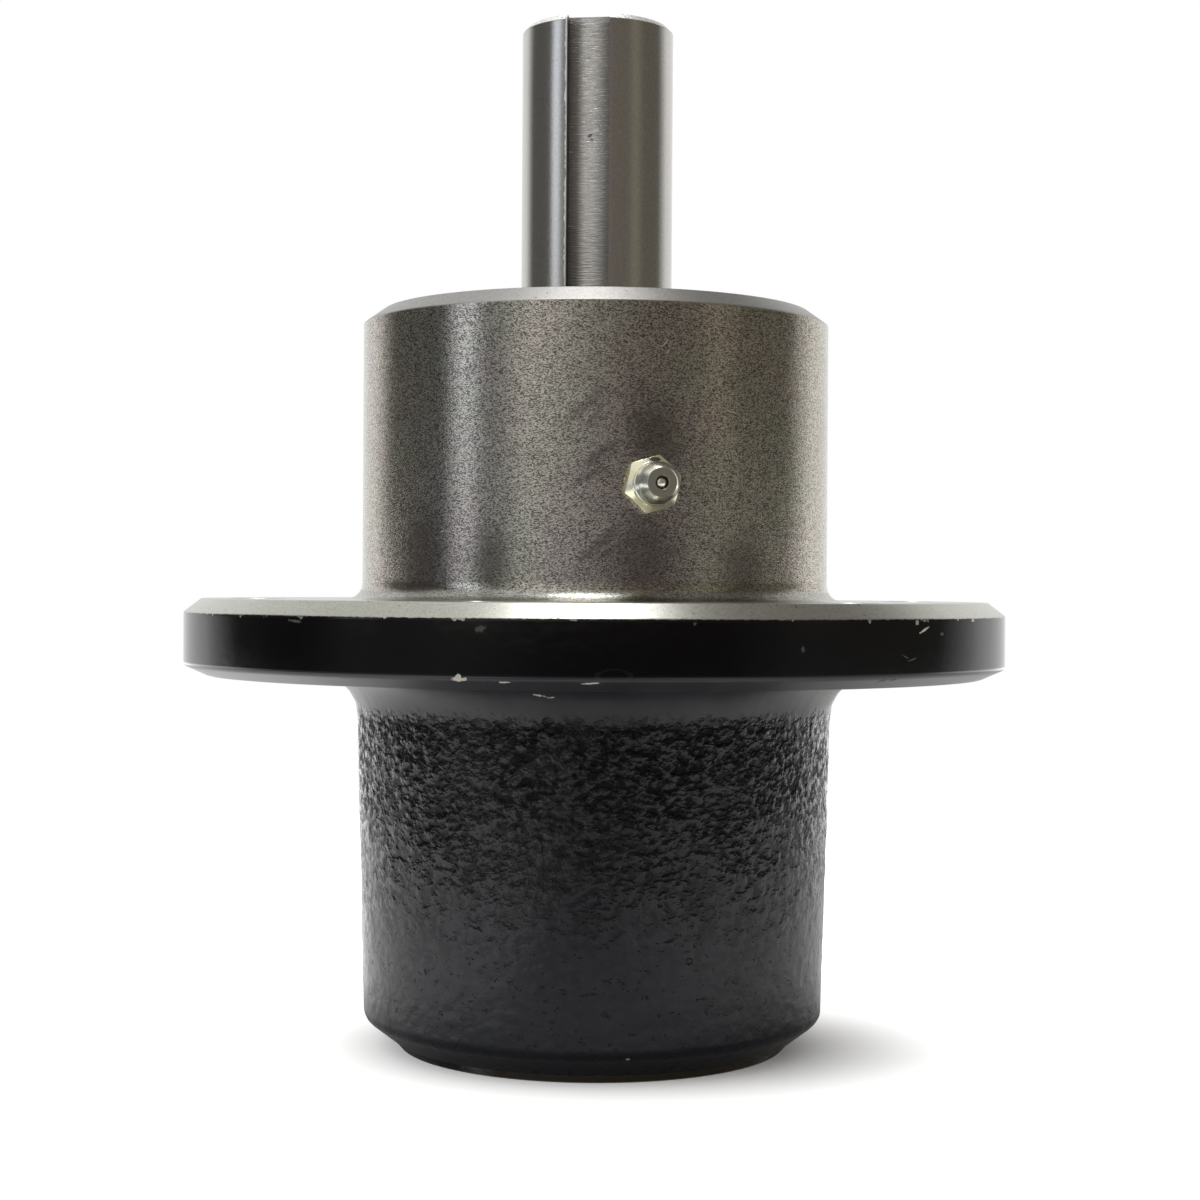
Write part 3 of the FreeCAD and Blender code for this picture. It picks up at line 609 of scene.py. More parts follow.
housing_section = section([
    (SEAL_BORE_R + BORE_CHAMFER, HOUSING_TOP, 0, 6),
    (UPPER_R - TOP_CHAMFER[0], HOUSING_TOP, EDGE, 2),
    (UPPER_R, HOUSING_TOP - TOP_CHAMFER[1], EDGE, 8),
    (UPPER_R, FLANGE_TOP, BARREL_FILLET, 7),
    (FLANGE_R - FLANGE_CHAMFER[0], FLANGE_TOP, EDGE, 4),
    (FLANGE_R, FLANGE_TOP - FLANGE_CHAMFER[1], EDGE, 5),
    (FLANGE_R, FLANGE_BOTTOM + RIM_CHAMFER[1], RIM_ROUND, 4),
    (FLANGE_R - RIM_CHAMFER[0], FLANGE_BOTTOM, RIM_ROUND, 2.5),
    (CAST_TOP_R, FLANGE_BOTTOM, CAST_FILLET, CAST_STEP),
    (CAST_END_R, FOOT_TOP, BEVEL_ROUND, 0.8),
    (FOOT_R, FOOT_LAND, FOOT_ROUND, 0.8),
    (FOOT_R - FOOT_LEAN, 0, EDGE, 4),
    (SEAL_BORE_R + BORE_CHAMFER, 0, 0, 4),
    (SEAL_BORE_R, BORE_CHAMFER, 0, 9),
    (SEAL_BORE_R, SEAL_DEPTH, 0, 9),
    (CUP_BORE_R, SEAL_DEPTH, 0, 20),
    (CUP_BORE_R, CUP_BACK, 0, 9),
    (CAVITY_R, CUP_BACK, 0, 30),
    (CAVITY_R, HOUSING_TOP - CUP_BACK, 0, 9),
    (CUP_BORE_R, HOUSING_TOP - CUP_BACK, 0, 20),
    (CUP_BORE_R, HOUSING_TOP - SEAL_DEPTH, 0, 9),
    (SEAL_BORE_R, HOUSING_TOP - SEAL_DEPTH, 0, 9),
    (SEAL_BORE_R, HOUSING_TOP - BORE_CHAMFER, 0, 9),
])
print("Housing section:", len(housing_section), "points")


# %% Cast skin
def lattice_noise(points, cell, seed):
    """Smooth noise from -1 to 1.

    Space is cut into cubes of the cell's size and each cube corner has a random value. A point takes the
    blend of its cube's eight corners, weighted along each axis by 3 t^2 - 2 t^3.
    """
    table = np.random.default_rng(seed).uniform(-1, 1, 4096)
    cube = np.floor(points / cell).astype(np.int64)
    share = points / cell - cube
    fade = share * share * (3 - 2 * share)
    total = np.zeros(points.shape[:-1])
    for corner in np.ndindex(2, 2, 2):
        key = (cube + corner) * np.array([73856093, 19349663, 83492791])
        value = table[(key[..., 0] ^ key[..., 1] ^ key[..., 2]) & 4095]
        total += value * np.where(corner, fade, 1 - fade).prod(axis=-1)
    return total


def smooth_step(value, low, high):
    """0 up to low, 1 from high on, and 3 t^2 - 2 t^3 between."""
    share = np.clip((value - low) / (high - low), 0, 1)
    return share * share * (3 - 2 * share)


def cast_skin(points):
    """Height of the sand-cast skin in millimetres: broad swells, finer lumps and small sharp pits."""
    swell = 0.08 * lattice_noise(points, 7.0, 1)
    lumps = 0.07 * lattice_noise(points * (1, 1, 1.5), 2.6, 2)
    peel = 0.07 * lattice_noise(points * (1, 1, 1.4), 1.3, 3)
    pits = -0.15 * smooth_step(lattice_noise(points, 2.1, 4), 0.62, 0.9)
    return swell + lumps + peel + pits


AROUND = 448
CAST_FROM = (69, 60)
COARSER_FROM = (14, 44)
FINE_SHARE = 0.55
COARSE_SHARE = 0.45
UNDER_FLANGE_SHARE = 0.25
row_radius, row_height = housing_section.T
housing_grid = carried_round(housing_section, AROUND)
along = np.roll(housing_section, -1, axis=0) - np.roll(housing_section, 1, axis=0)
along /= np.linalg.norm(along, axis=1, keepdims=True)
outward = carried_round(np.stack([-along[:, 1], along[:, 0]], axis=1), AROUND)
outside = row_radius > FOOT_R - 3
as_cast = FINE_SHARE + COARSE_SHARE * smooth_step(row_height, *COARSER_FROM)
as_cast = smooth_step(row_height, *CAST_FROM) * as_cast
as_cast = as_cast * smooth_step(row_height, FOOT_LAND, FOOT_TOP + 2) * outside
under_flange = (np.abs(row_height - FLANGE_BOTTOM) < 4) * (row_radius < FLANGE_R - 6)
as_cast += UNDER_FLANGE_SHARE * outside * under_flange
housing_grid -= outward * (cast_skin(housing_grid) * as_cast[:, None])[..., None]
housing = make_piece("housing", housing_grid)
print("Cast skin on", int((as_cast > 0).sum()), "rows of", AROUND)

# %% [markdown]
# ### Holes
# Six bolt holes go through the flange, and the grease fitting sits in a drilled and tapped port between two
# of them. A boolean cut is the plain way, because the drill's shape is all that matters.

# %% Drill the flange and the port
PORT_ANGLE = math.radians(19.7)
PORT_HEIGHT = 104.0
BOLT_CIRCLE_R = 63.5
BOLT_HOLE_R = 5.15
BOLT_COUNT = 6
BOLT_CHAMFER = 0.5
OVER_TOP = 1.0
UNDER_BOTTOM = 4.0
DRILL_AROUND = 48
PORT_R = 2.0
PORT_START = 22.0
TAP_R = 4.02
TAP_START = 36.4
PORT_END = 48.0


def drill(name, profile):
    """A closed cutter from its (radius, height) outline, which starts and ends on its axis."""
    return make_piece(name, carried_round(np.array(profile, float), DRILL_AROUND), joined=False)


def move_points(piece, change):
    """Change the piece's points as one array in millimetres."""
    mesh = piece.data
    flat = np.empty(len(mesh.vertices) * 3)
    mesh.vertices.foreach_get("co", flat)
    moved = change(flat.reshape(-1, 3) / MM) * MM
    mesh.vertices.foreach_set("co", moved.ravel())
    mesh.update()


def at_port(points):
    """Local Z points out of the port, local X goes round the barrel and local Y up."""
    out = np.array([math.sin(PORT_ANGLE), -math.cos(PORT_ANGLE), 0])
    beside = np.array([math.cos(PORT_ANGLE), math.sin(PORT_ANGLE), 0])
    up = np.array([0, 0, 1.0])
    return points[:, :1] * beside + points[:, 1:2] * up + points[:, 2:] * out + up * PORT_HEIGHT


cutters = []
for number in range(BOLT_COUNT):
    angle = PORT_ANGLE + (number + 0.5) * 2 * math.pi / BOLT_COUNT
    middle = np.array([BOLT_CIRCLE_R * math.sin(angle), -BOLT_CIRCLE_R * math.cos(angle), 0])
    cutter = drill(f"bolt_drill_{number}", [
        (0, FLANGE_BOTTOM - UNDER_BOTTOM),
        (BOLT_HOLE_R, FLANGE_BOTTOM - UNDER_BOTTOM),
        (BOLT_HOLE_R, FLANGE_TOP - BOLT_CHAMFER),
        (BOLT_HOLE_R + (BOLT_CHAMFER + OVER_TOP), FLANGE_TOP + OVER_TOP),
        (0, FLANGE_TOP + OVER_TOP),
    ])
    move_points(cutter, lambda points, middle=middle: points + middle)
    cutters.append(cutter)
port_drill = drill("port_drill", [
    (0, PORT_START),
    (PORT_R, PORT_START),
    (PORT_R, TAP_START),
    (TAP_R, TAP_START),
    (TAP_R, PORT_END),
    (0, PORT_END),
])
move_points(port_drill, at_port)
cut_away(housing, cutters + [port_drill])
print("Holes cut:", BOLT_COUNT + 1)

# %% [markdown]
# ### Marks on the skin
# Scuffs, scratches, chips and pits are single events, each in its own place, and noise can't put them there.
# A Mapping node moves the coordinates to the mark, turns them and scales them, so that the mark is all
# that lies within a length of 1. Noise added to that length makes its outline ragged.


# %% Helpers for marks
MARK_DEPTH = 3.0


def spot(place, radius, turn, height, half_long, half_high, tilt):
    """How far out a point lies in an ellipse on the skin: 0 in the middle and 1 on the outline.

    The middle is radius, degrees from the front and height, and the tilt lifts the ellipse's right end.
    """
    angle = math.radians(turn)
    values = {
        "Vector": place,
        "Location": (radius * math.sin(angle), -radius * math.cos(angle), height),
        "Rotation": (0, -math.radians(tilt), angle),
        "Scale": (half_long, MARK_DEPTH, half_high),
    }
    local = add_node(place.tree, "ShaderNodeMapping", {"vector_type": "TEXTURE"}, values)
    return add_node(place.tree, "ShaderNodeVectorMath", {"operation": "LENGTH"}, {0: local}, "Value")


def marks(place, wobble, soft, table):
    """1 inside any spot of the table and 0 outside. Outlines wander with the wobble and fade over soft."""
    found = None
    for row in table:
        inside = (spot(place, *row) + wobble).between(1 + soft, 1 - soft)
        found = found.most(inside) if found else inside
    return found


# %% [markdown]
# ### The housing's finish
# Turned iron is bright, with fine lines round it, and its skin is torn by graphite flakes, so that it is all
# over fine specks. They show where it mirrors something bright and vanish where it mirrors the dark.
# Each row of a table of marks is one spot: radius, degrees from the front, height, half its length, half
# its height and its tilt.

# %% Turned iron
BARREL_OUT = (44.5, 44.15)
BARREL_END = (135.6, 135.3)
TOP_FACE_FROM = (130.0, 132.0)
FILLET_OUT = (47.0, 46.0)
FILLET_FROM = (83.0, 84.0)
IRON_WARM = (0.66, 0.61, 0.575)
IRON_GREENISH = (0.62, 0.62, 0.55)
FLANGE_FACE = (0.53, 0.53, 0.48)
TOP_FACE = (0.44, 0.431, 0.418)
TORN_DARK = (0.14, 0.127, 0.118)
GRAPHITE_DARK = (0.05, 0.045, 0.04)
REFLECTION_WARMTH = (1.01, 0.975, 0.90)

material, place, x, y, z = new_finish("cast_iron_housing")
tree = material.node_tree
radius = (x * x + y * y).power(0.5)
on_top = z.between(*TOP_FACE_FROM)
under_chamfer = z.between(*BARREL_END)
barrel = radius.between(*BARREL_OUT) * under_chamfer
flat_place = stretched(place, 1.0, 1.0, 2.1)
speck = grain(flat_place, 3.6, 1.0)
flakes = add_node(tree, "ShaderNodeTexVoronoi", {}, {"Vector": flat_place, "Scale": 4.2}, "Color")
flake = add_node(tree, "ShaderNodeSeparateColor", {}, {0: flakes}, "Red")
lines = grain(stretched(place, 0.06, 0.06, 6.0), 1.0, 2.0, 0.7)
iron_height = speck * (barrel * 0.015 + 0.004) + lines * 0.003
clouds = grain(place, 0.075)
iron_colour = tint(clouds.between(0.35, 0.65), IRON_WARM, IRON_GREENISH)
# A painted warm reflection: the barrel's right side and its far left edge are tinted warmer, for the warm
# room that they mirror
painted_warm_reflection = x.between(0.0, 22.0).most(x.between(-22.0, -30.0) * 0.8)
iron_colour = tint(painted_warm_reflection, iron_colour, stretched(iron_colour, *REFLECTION_WARMTH))
thick = grain(place, 0.28, 2.0, 0.6)
fillet = radius.between(*FILLET_OUT) * z.between(*FILLET_FROM) * under_chamfer
torn = (flake * 0.7 + speck * 0.2 + thick * 0.2).between(0.72, 0.32)
torn = torn * (barrel.most(fillet * 0.8) * 0.75 + 0.25)
graphite = grain(place, 1.1, 3.0, 0.6).between(0.34, 0.29)
iron_colour = layered(
    FLANGE_FACE,
    (on_top, TOP_FACE),
    (barrel, iron_colour),
    (torn, TORN_DARK),
    (graphite * 0.7, GRAPHITE_DARK),
)
print("Iron nodes:", len(tree.nodes))

# %% Scuffs, scratches and painted dark reflections on the barrel
SCUFFS = [
    (44, 5.5, 117.5, 4.6, 0.8, 42),
    (44, 7.0, 115.5, 2.6, 0.5, 50),
    (44, 8.5, 109.0, 3.6, 0.8, 36),
    (44, 6.0, 105.5, 3.0, 0.6, 30),
    (44, 8.8, 94.0, 3.8, 0.9, 40),
    (44, 10.5, 92.5, 2.4, 0.5, 34),
]
SCRATCHES = [
    (44, 23.0, 128.2, 1.1, 0.11, 48),
    (44, 23.8, 126.9, 0.5, 0.10, 60),
    (44, -30.0, 96.0, 0.5, 0.08, 8),
    (44, 40.0, 117.0, 1.2, 0.08, -12),
]
# Dark patches painted low on the barrel just above the flange, and one higher up: painted dark reflections
PAINTED_DARK_REFLECTIONS = [
    (44, 18.7, 92.0, 5.0, 7.0, 0),
    (44, 43.0, 90.0, 5.0, 5.5, 0),
    (44, -16.5, 91.0, 3.2, 5.5, 0),
    (44, -36.3, 91.5, 5.5, 7.5, 0),
    (44, 21.0, 112.5, 4.0, 6.0, 20),
]
DARK_REFLECTION_COLOUR = (0.12, 0.105, 0.09)
SCUFF_DARK = (0.15, 0.132, 0.128)
SCRATCH_LIGHT = (0.95, 0.93, 0.90)
LAND_LIGHT = (0.72, 0.71, 0.69)
LAND_DARK = (0.10, 0.086, 0.068)
wander = (grain(place, 0.5, 3.0, 0.7) - 0.5) * 1.6
painted_dark_reflection = marks(place, wander * 0.7, 0.75, PAINTED_DARK_REFLECTIONS)
scuffed = marks(place, wander, 0.7, SCUFFS)
scratched = marks(place, wander * 0.2, 0.3, SCRATCHES)
land = z.between(2.2, 1.7)
# The land is bare and light; its wall is bare and dark brown on the front and right, and painted black round
# the rest
dark_front = (x + wander * 3.0).between(-20.0, -12.0) * y.between(-10.0, -20.0)
wall = z.between(0.12, 0.28)
iron_colour = layered(
    iron_colour,
    (painted_dark_reflection * 0.62, DARK_REFLECTION_COLOUR),
    (scuffed * 0.5, SCUFF_DARK),
    (scratched * 0.8, SCRATCH_LIGHT),
    (land, tint(dark_front * wall, LAND_LIGHT, LAND_DARK)),
)
iron_rough = 0.26 - barrel * 0.12 + speck * 0.05 + land * 0.15
iron_rough = iron_rough + on_top * (1 - barrel) * 0.14
iron = principled(
    tree, Base_Color=iron_colour, Metallic=1.0 - land * 0.45, Roughness=iron_rough, Anisotropic=0.4,
    Anisotropic_Rotation=0.25, Normal=bump(iron_height),
)
print("Scuffs, scratches and dark_reflections:", len(SCUFFS) + len(SCRATCHES) + len(PAINTED_DARK_REFLECTIONS))

# %% [markdown]
# ### Black paint
# The rim is a smooth gloss black. Under the flange the paint is thin, dull and grey. Below that it lies over
# the sand-cast skin: lumps shine like wet stone, and the hollows, scars and pits between them get a painted
# shade, dull and black.

# %% Black paint
CAST_LOW = (0.0085, 0.0098, 0.0185)
CAST_HIGH = (0.0034, 0.0037, 0.0060)
HOLLOW_SHADE_BLACK = (0.0008, 0.0008, 0.0010)
DULL_DARK = (0.018, 0.019, 0.022)
DULL_LIGHT = (0.034, 0.035, 0.040)
RIM_BLACK = (0.0012, 0.0010, 0.0010)

lump = grain(stretched(place, 1.0, 1.0, 1.15), 0.62, 2.4, 0.55)
crease = (grain(stretched(place, 1.0, 1.0, 1.2), 0.30, 2.2, 0.5) - 0.5).absolute()
patch = grain(place, 0.11).between(0.32, 0.66)
ripple = grain(place, 0.35, 1.0)
cast = (z + (lump - 0.5) * 6.0).between(64.5, 61.5)
coarse = cast * (z.between(16.0, 58.0) * 0.88 + 0.12) * (patch * 0.45 + 0.65)
scar = grain(stretched(place, 1.0, 1.0, 1.6), 0.55, 2.0, 0.6).between(0.35, 0.31) * cast
skin = lump * 0.50 + crease * 0.95
# Painted shade: the low places of the skin take the dull black shader
sunk_shade = skin.between(0.36, 0.26) * coarse.least(1.0)
paint_height = coarse * skin + ripple * 0.012 - scar * 0.12
dull = z.between(72.35, 71.75) * (1 - cast) * z.between(20.0, 30.0)
# Painted shade: creases and scars turn deep black
hollow_shade = crease.between(0.07, 0.01) * coarse
cast_black = layered(CAST_LOW, (z.between(18.0, 52.0), CAST_HIGH), (hollow_shade.most(scar), HOLLOW_SHADE_BLACK))
dull_grey = tint(patch * 0.6 + lump * 0.4, DULL_DARK, DULL_LIGHT)
paint_colour = layered(RIM_BLACK, (dull, dull_grey), (cast, cast_black))
paint_rough = 0.09 + cast * 0.07 + dull * 0.25
print("Nodes with the paint:", len(tree.nodes))

# %% Chips and flecks in the paint
PITS = [
    (45, 72.0, 57.6, 0.8, 1.2, 0),
    (45, -2.6, 63.4, 0.9, 0.7, 0),
    (44.5, -55.0, 34.5, 0.9, 1.2, 0),
    (44, 30.0, 22.0, 0.6, 0.5, 0),
]
FLECKS = [
    (77, -8.6, 71.85, 1.2, 0.35, 0),
    (77, -8.5, 72.25, 0.5, 0.45, 0),
    (77, -3.1, 71.45, 0.9, 0.13, 0),
    (77, 7.0, 71.4, 1.5, 0.13, 3),
    (50, -3.6, 68.0, 1.6, 0.26, -10),
    (50, -1.6, 67.7, 1.2, 0.22, 8),
    (77, 52.9, 79.7, 1.3, 0.20, 22),
    (43, 15.8, 5.5, 0.32, 0.16, 0),
]
SCRAPES = [
    (77, 45.7, 71.5, 0.9, 0.20, 10),
    (77, 47.4, 71.6, 0.6, 0.20, 0),
    (77, 56.7, 78.95, 0.4, 0.22, 0),
    (77, -32.0, 80.6, 1.5, 0.22, -4),
    (77, -5.9, 79.8, 0.9, 0.45, 10),
    (77, 50.4, 74.8, 1.1, 0.12, 12),
    (77, 49.2, 75.3, 0.8, 0.10, -20),
    (77, 19.3, 80.8, 0.25, 0.25, 0),
    (77, 33.0, 76.7, 0.35, 0.45, 0),
]
BLOB = (77, 9.8, 72.6, 2.7, 1.0, 0)
SCRAPE_GREY = (0.10, 0.098, 0.09)
FLECK_LIGHT = (0.66, 0.63, 0.54)
MATTE_AND_SHADE_BLACK = (0.0016, 0.0016, 0.0018)
nibble = (grain(place, 1.5, 2.0, 0.7) - 0.5) * 1.5
pitted = marks(place, nibble, 0.25, PITS)
flecked = marks(place, nibble, 0.15, FLECKS)
scraped = marks(place, nibble * 1.4, 0.4, SCRAPES)
blob_edge = 1 - (spot(place, *BLOB) + nibble * 0.5 - 1).absolute().between(0.02, 0.16)
# Each pit gets the painted hollow shade
paint_colour = layered(
    paint_colour,
    (pitted, HOLLOW_SHADE_BLACK),
    ((blob_edge * 0.10).most(scraped * 0.6), SCRAPE_GREY),
    (flecked, FLECK_LIGHT),
)
paint = principled(
    tree, Base_Color=paint_colour, Roughness=paint_rough + flecked.most(scraped) * 0.4, IOR=1.43,
    Normal=bump(paint_height - pitted * 0.4),
)
bevel = z.between(5.2, 4.4)
# A dull black shader, mixed in for the dull cast paint and the foot's bevel, and as painted shade in the sunk
# places
matte_and_shade = principled(tree, Base_Color=MATTE_AND_SHADE_BLACK, Roughness=0.8, Specular_IOR_Level=0.08)
paint = mixed((sunk_shade * 0.7 + cast * 0.13).most(bevel * 0.2), paint, matte_and_shade)
print("Pits, flecks and scrapes:", len(PITS) + len(FLECKS) + len(SCRAPES))

# %% Bare and painted places
worn = grain(place, 0.22, 3.0, 0.7).between(0.60, 0.70) * 0.9
ragged = grain(place, 0.7, 3.0, 0.7)
bare_top = (z + (ragged - 0.5) * 0.5 + worn).between(81.35, 81.55)
bare_foot = (z + (ragged - 0.5) * 0.6).between(1.75, 1.55) * (1 - wall * (1 - dark_front))
bare_bore = radius.between(33.0, 32.7)
bare = bare_top.most(bare_foot).most(bare_bore)
end_finish(mixed(bare, paint, iron))
dress(housing, material, "housing", "cast_iron_housing", "spindle_housing")

# %% [markdown]
# ## The shaft
# The shaft is ground bright at its pulley end and has a milled keyway with a rounded runout. Its lower end
# carries the seal collar and a tapped hole for the blade bolt. The thread is part of the same grid: in the
# rows of the hole the radius swings with the height and the angle, which is what a helix is.

# %% Section of the shaft
_, shaft_high = node_box_mm("spindle_shaft")
SHAFT_TOP = shaft_high[2]
SHAFT_R = 14.2875
COLLAR_R = 22.225
SEAT_R = 15.875
COLLAR_TOP = 11.0
SEAT_TOP = 126.7
SLEEVE_SEAT_R = 15.0
SLEEVE_TOP = 137.4
SHAFT_LOW = 1.0
HOLE_R = 7.1
HOLE_TOP = 43.0
THREAD_PITCH = 2.309
THREAD_DEPTH = 0.55
SHAFT_EDGE = 0.15
SHAFT_CHAMFER = 1.0
HOLE_POINT = 4.27
HOLE_CHAMFER = 1.2
CENTRE_R = 3.0
CENTRE_DEPTH = 3.03
PILOT_R = 1.25
PILOT_DEPTH = 6.03
PILOT_POINT = 6.78
SHAFT_AROUND = 144

shaft_section = section([
    (0, HOLE_TOP + HOLE_POINT, 0, 10),
    (HOLE_R, HOLE_TOP, 0, THREAD_PITCH / 8),
    (HOLE_R, SHAFT_LOW + HOLE_CHAMFER, 0, 0.6),
    (HOLE_R + HOLE_CHAMFER, SHAFT_LOW, 0, 9),
    (COLLAR_R - SHAFT_CHAMFER, SHAFT_LOW, SHAFT_EDGE, 2),
    (COLLAR_R, SHAFT_LOW + SHAFT_CHAMFER, SHAFT_EDGE, 6),
    (COLLAR_R, COLLAR_TOP, 0, 9),
    (SEAT_R, COLLAR_TOP, 0, 30),
    (SEAT_R, SEAT_TOP, 0, 9),
    (SLEEVE_SEAT_R, SEAT_TOP, 0, 20),
    (SLEEVE_SEAT_R, SLEEVE_TOP, 0, 9),
    (SHAFT_R, SLEEVE_TOP, 0, 12),
    (SHAFT_R, SHAFT_TOP - SHAFT_CHAMFER, SHAFT_EDGE, 2),
    (SHAFT_R - SHAFT_CHAMFER, SHAFT_TOP, SHAFT_EDGE, 6),
    (CENTRE_R, SHAFT_TOP, 0, 4),
    (PILOT_R, SHAFT_TOP - CENTRE_DEPTH, 0, 4),
    (PILOT_R, SHAFT_TOP - PILOT_DEPTH, 0, 4),
    (0, SHAFT_TOP - PILOT_POINT, 0, 100),
])
# The section comes back to its start along the axis, and that last run is left off
last_row = np.argmin(np.where(shaft_section[:, 1] > SLEEVE_TOP, shaft_section[:, 0], SHAFT_R))
shaft_section = shaft_section[:last_row + 1]
row_radius, row_height = shaft_section.T
shaft_grid = carried_round(shaft_section, SHAFT_AROUND)
in_hole = row_radius <= HOLE_R + 0.01
in_hole &= (row_height < HOLE_TOP - 1.5) & (row_height > SHAFT_LOW + 0.9)
turns = row_height[:, None] / THREAD_PITCH - np.arange(SHAFT_AROUND) / SHAFT_AROUND
groove = THREAD_DEPTH * (1 - 2 * np.abs(turns - np.floor(turns) - 0.5)) * in_hole[:, None]
shaft_grid[..., :2] *= 1 + (groove / np.maximum(row_radius[:, None], 1))[..., None]
shaft = make_piece("shaft", shaft_grid, joined=False)
print("Shaft section:", len(shaft_section), "points")

# %% Mill the keyway
KEY_HALF = 3.97
KEY_FLOOR = SHAFT_R - 4.0
KEY_START = 141.57
KEY_BREAK = 0.08
KEY_MIDDLE = 165.0
KEY_OVER = 2.0
KEY_OVER_TOP = 4.0
KEY_ARC = 24


def key_outline(half, start, end):
    """A slot's outline: half a circle about the start at the bottom, then straight up both sides."""
    angles = np.linspace(math.pi, 2 * math.pi, KEY_ARC)
    bottom = np.stack([half * np.cos(angles), start + half * np.sin(angles)], axis=1)
    return np.concatenate([bottom, [[half, end], [-half, end]]])


edge_depth = math.sqrt(SHAFT_R ** 2 - KEY_HALF ** 2)
KEY_LAYERS = [
    (KEY_HALF, KEY_FLOOR),
    (KEY_HALF, edge_depth - KEY_BREAK),
    (KEY_HALF + 3 * KEY_BREAK, edge_depth + KEY_BREAK),
    (KEY_HALF + 3 * KEY_BREAK, SHAFT_R + KEY_OVER),
]
layers = []
for half, depth in KEY_LAYERS:
    outline = key_outline(half, KEY_START, SHAFT_TOP + KEY_OVER_TOP)
    layers.append(np.stack([outline[:, 0], np.full(len(outline), -depth), outline[:, 1]], axis=1))
floor_middle = np.broadcast_to([0, -KEY_FLOOR, KEY_MIDDLE], layers[0].shape)
top_middle = np.broadcast_to([0, -SHAFT_R - KEY_OVER, KEY_MIDDLE], layers[0].shape)
key_cutter = make_piece("key_cutter", np.stack([floor_middle, *layers, top_middle]), joined=False)
cut_away(shaft, [key_cutter])
print("Keyway from", round(KEY_START - KEY_HALF, 2), "to", round(SHAFT_TOP, 2))

# %% Finish of the shaft
STEEL_DARK = (0.48, 0.465, 0.44)
STEEL_LIGHT = (0.54, 0.525, 0.50)
KEY_SHADE = (0.20, 0.19, 0.18)
KEY_PAINTED_LIGHT = (0.70, 0.685, 0.66)
MILL_DARK = (0.22, 0.21, 0.20)
EDGE_AND_GLINT_LIGHT = (0.92, 0.91, 0.89)
PORE_DARK = (0.42, 0.41, 0.40)
NICK_DARK = (0.06, 0.055, 0.05)
NICKS = [
    (10.3, 0.0, 170.3, 0.55, 0.30, 35),
    (10.3, 1.5, 169.6, 0.30, 0.22, -20),
]

material, place, x, y, z = new_finish("shaft_steel")
tree = material.node_tree
deep = y * -1
in_key = deep.between(10.0, 10.2) * deep.between(13.62, 13.5) * x.absolute().between(4.02, 3.99)
in_key = in_key * z.between(137.4, 137.5)
brush = grain(stretched(place, 1.2, 1.2, 9.0), 1.0, 2.0, 0.6)
pores = grain(place, 2.2, 2.0, 0.6)
mill = grain(stretched(place, 0.4, 0.6, 3.6), 1.0, 3.0, 0.65)
steel_height = brush * 0.004 + pores * 0.005 + in_key * (mill * 0.16)
# The keyway is painted: a light band across the middle of its floor, a painted reflection of the room, with
# shade towards the left wall and fading to the right
painted_key_light = x.between(-2.7, -0.7) * x.between(3.5, 0.1)
key_colour = layered(KEY_SHADE, (painted_key_light, KEY_PAINTED_LIGHT), (mill.between(0.55, 0.25) * 0.6, MILL_DARK))
burr_wander = grain(stretched(place, 1.0, 1.0, 0.6), 0.9, 3.0, 0.7)
# The burr on the keyway's left lip is a painted glint: a thin, nearly non-metallic white line where its
# raised edge catches the light. The end chamfer gets the same light colour
burr_glint = (x + (burr_wander - 0.5) * 1.2).between(-4.30, -4.16) * x.between(-3.90, -3.96)
burr_glint = burr_glint * deep.between(13.2, 13.3) * z.between(139.0, 142.0)
end_band = z.between(191.1, 191.4) * (1 - in_key * 0.8)
steel_height = steel_height + (burr_glint + end_band) * (pores * 0.08)
nicked = marks(place, (burr_wander - 0.5) * 2.0, 0.4, NICKS)
steel_colour = layered(
    STEEL_DARK,
    (pores.between(0.3, 0.7), STEEL_LIGHT),
    (in_key, key_colour),
    (burr_glint.most(end_band), EDGE_AND_GLINT_LIGHT),
    (end_band * pores.between(0.50, 0.36) * 0.8, PORE_DARK),
    (nicked * 0.75, NICK_DARK),
)
steel_rough = 0.15 + pores * 0.04 + in_key * 0.18 + (burr_glint + end_band) * 0.25
end_finish(principled(
    tree, Base_Color=steel_colour, Metallic=1.0 - burr_glint * 0.8, Roughness=steel_rough, Anisotropic=0.3,
    Normal=bump(steel_height),
))
dress(shaft, material, "shaft", "shaft_steel", "spindle_shaft")

# %% [markdown]
# ## The grease fitting
# A small plated fitting with a hexagon, a neck and a head that the grease gun grips. Its grid is turned like
# the others, but in the hexagon's rows the radius follows the six flats, cut back by a cone at the corners.

# %% Grid of the fitting
HEX_FLATS = 9.0
HEX_SHARP = 24
HEX_CLOCK = math.radians(17.0)
HEX_CORNER_R = 5.12
FITTING_AROUND = 144
CROWN_ROWS = 13

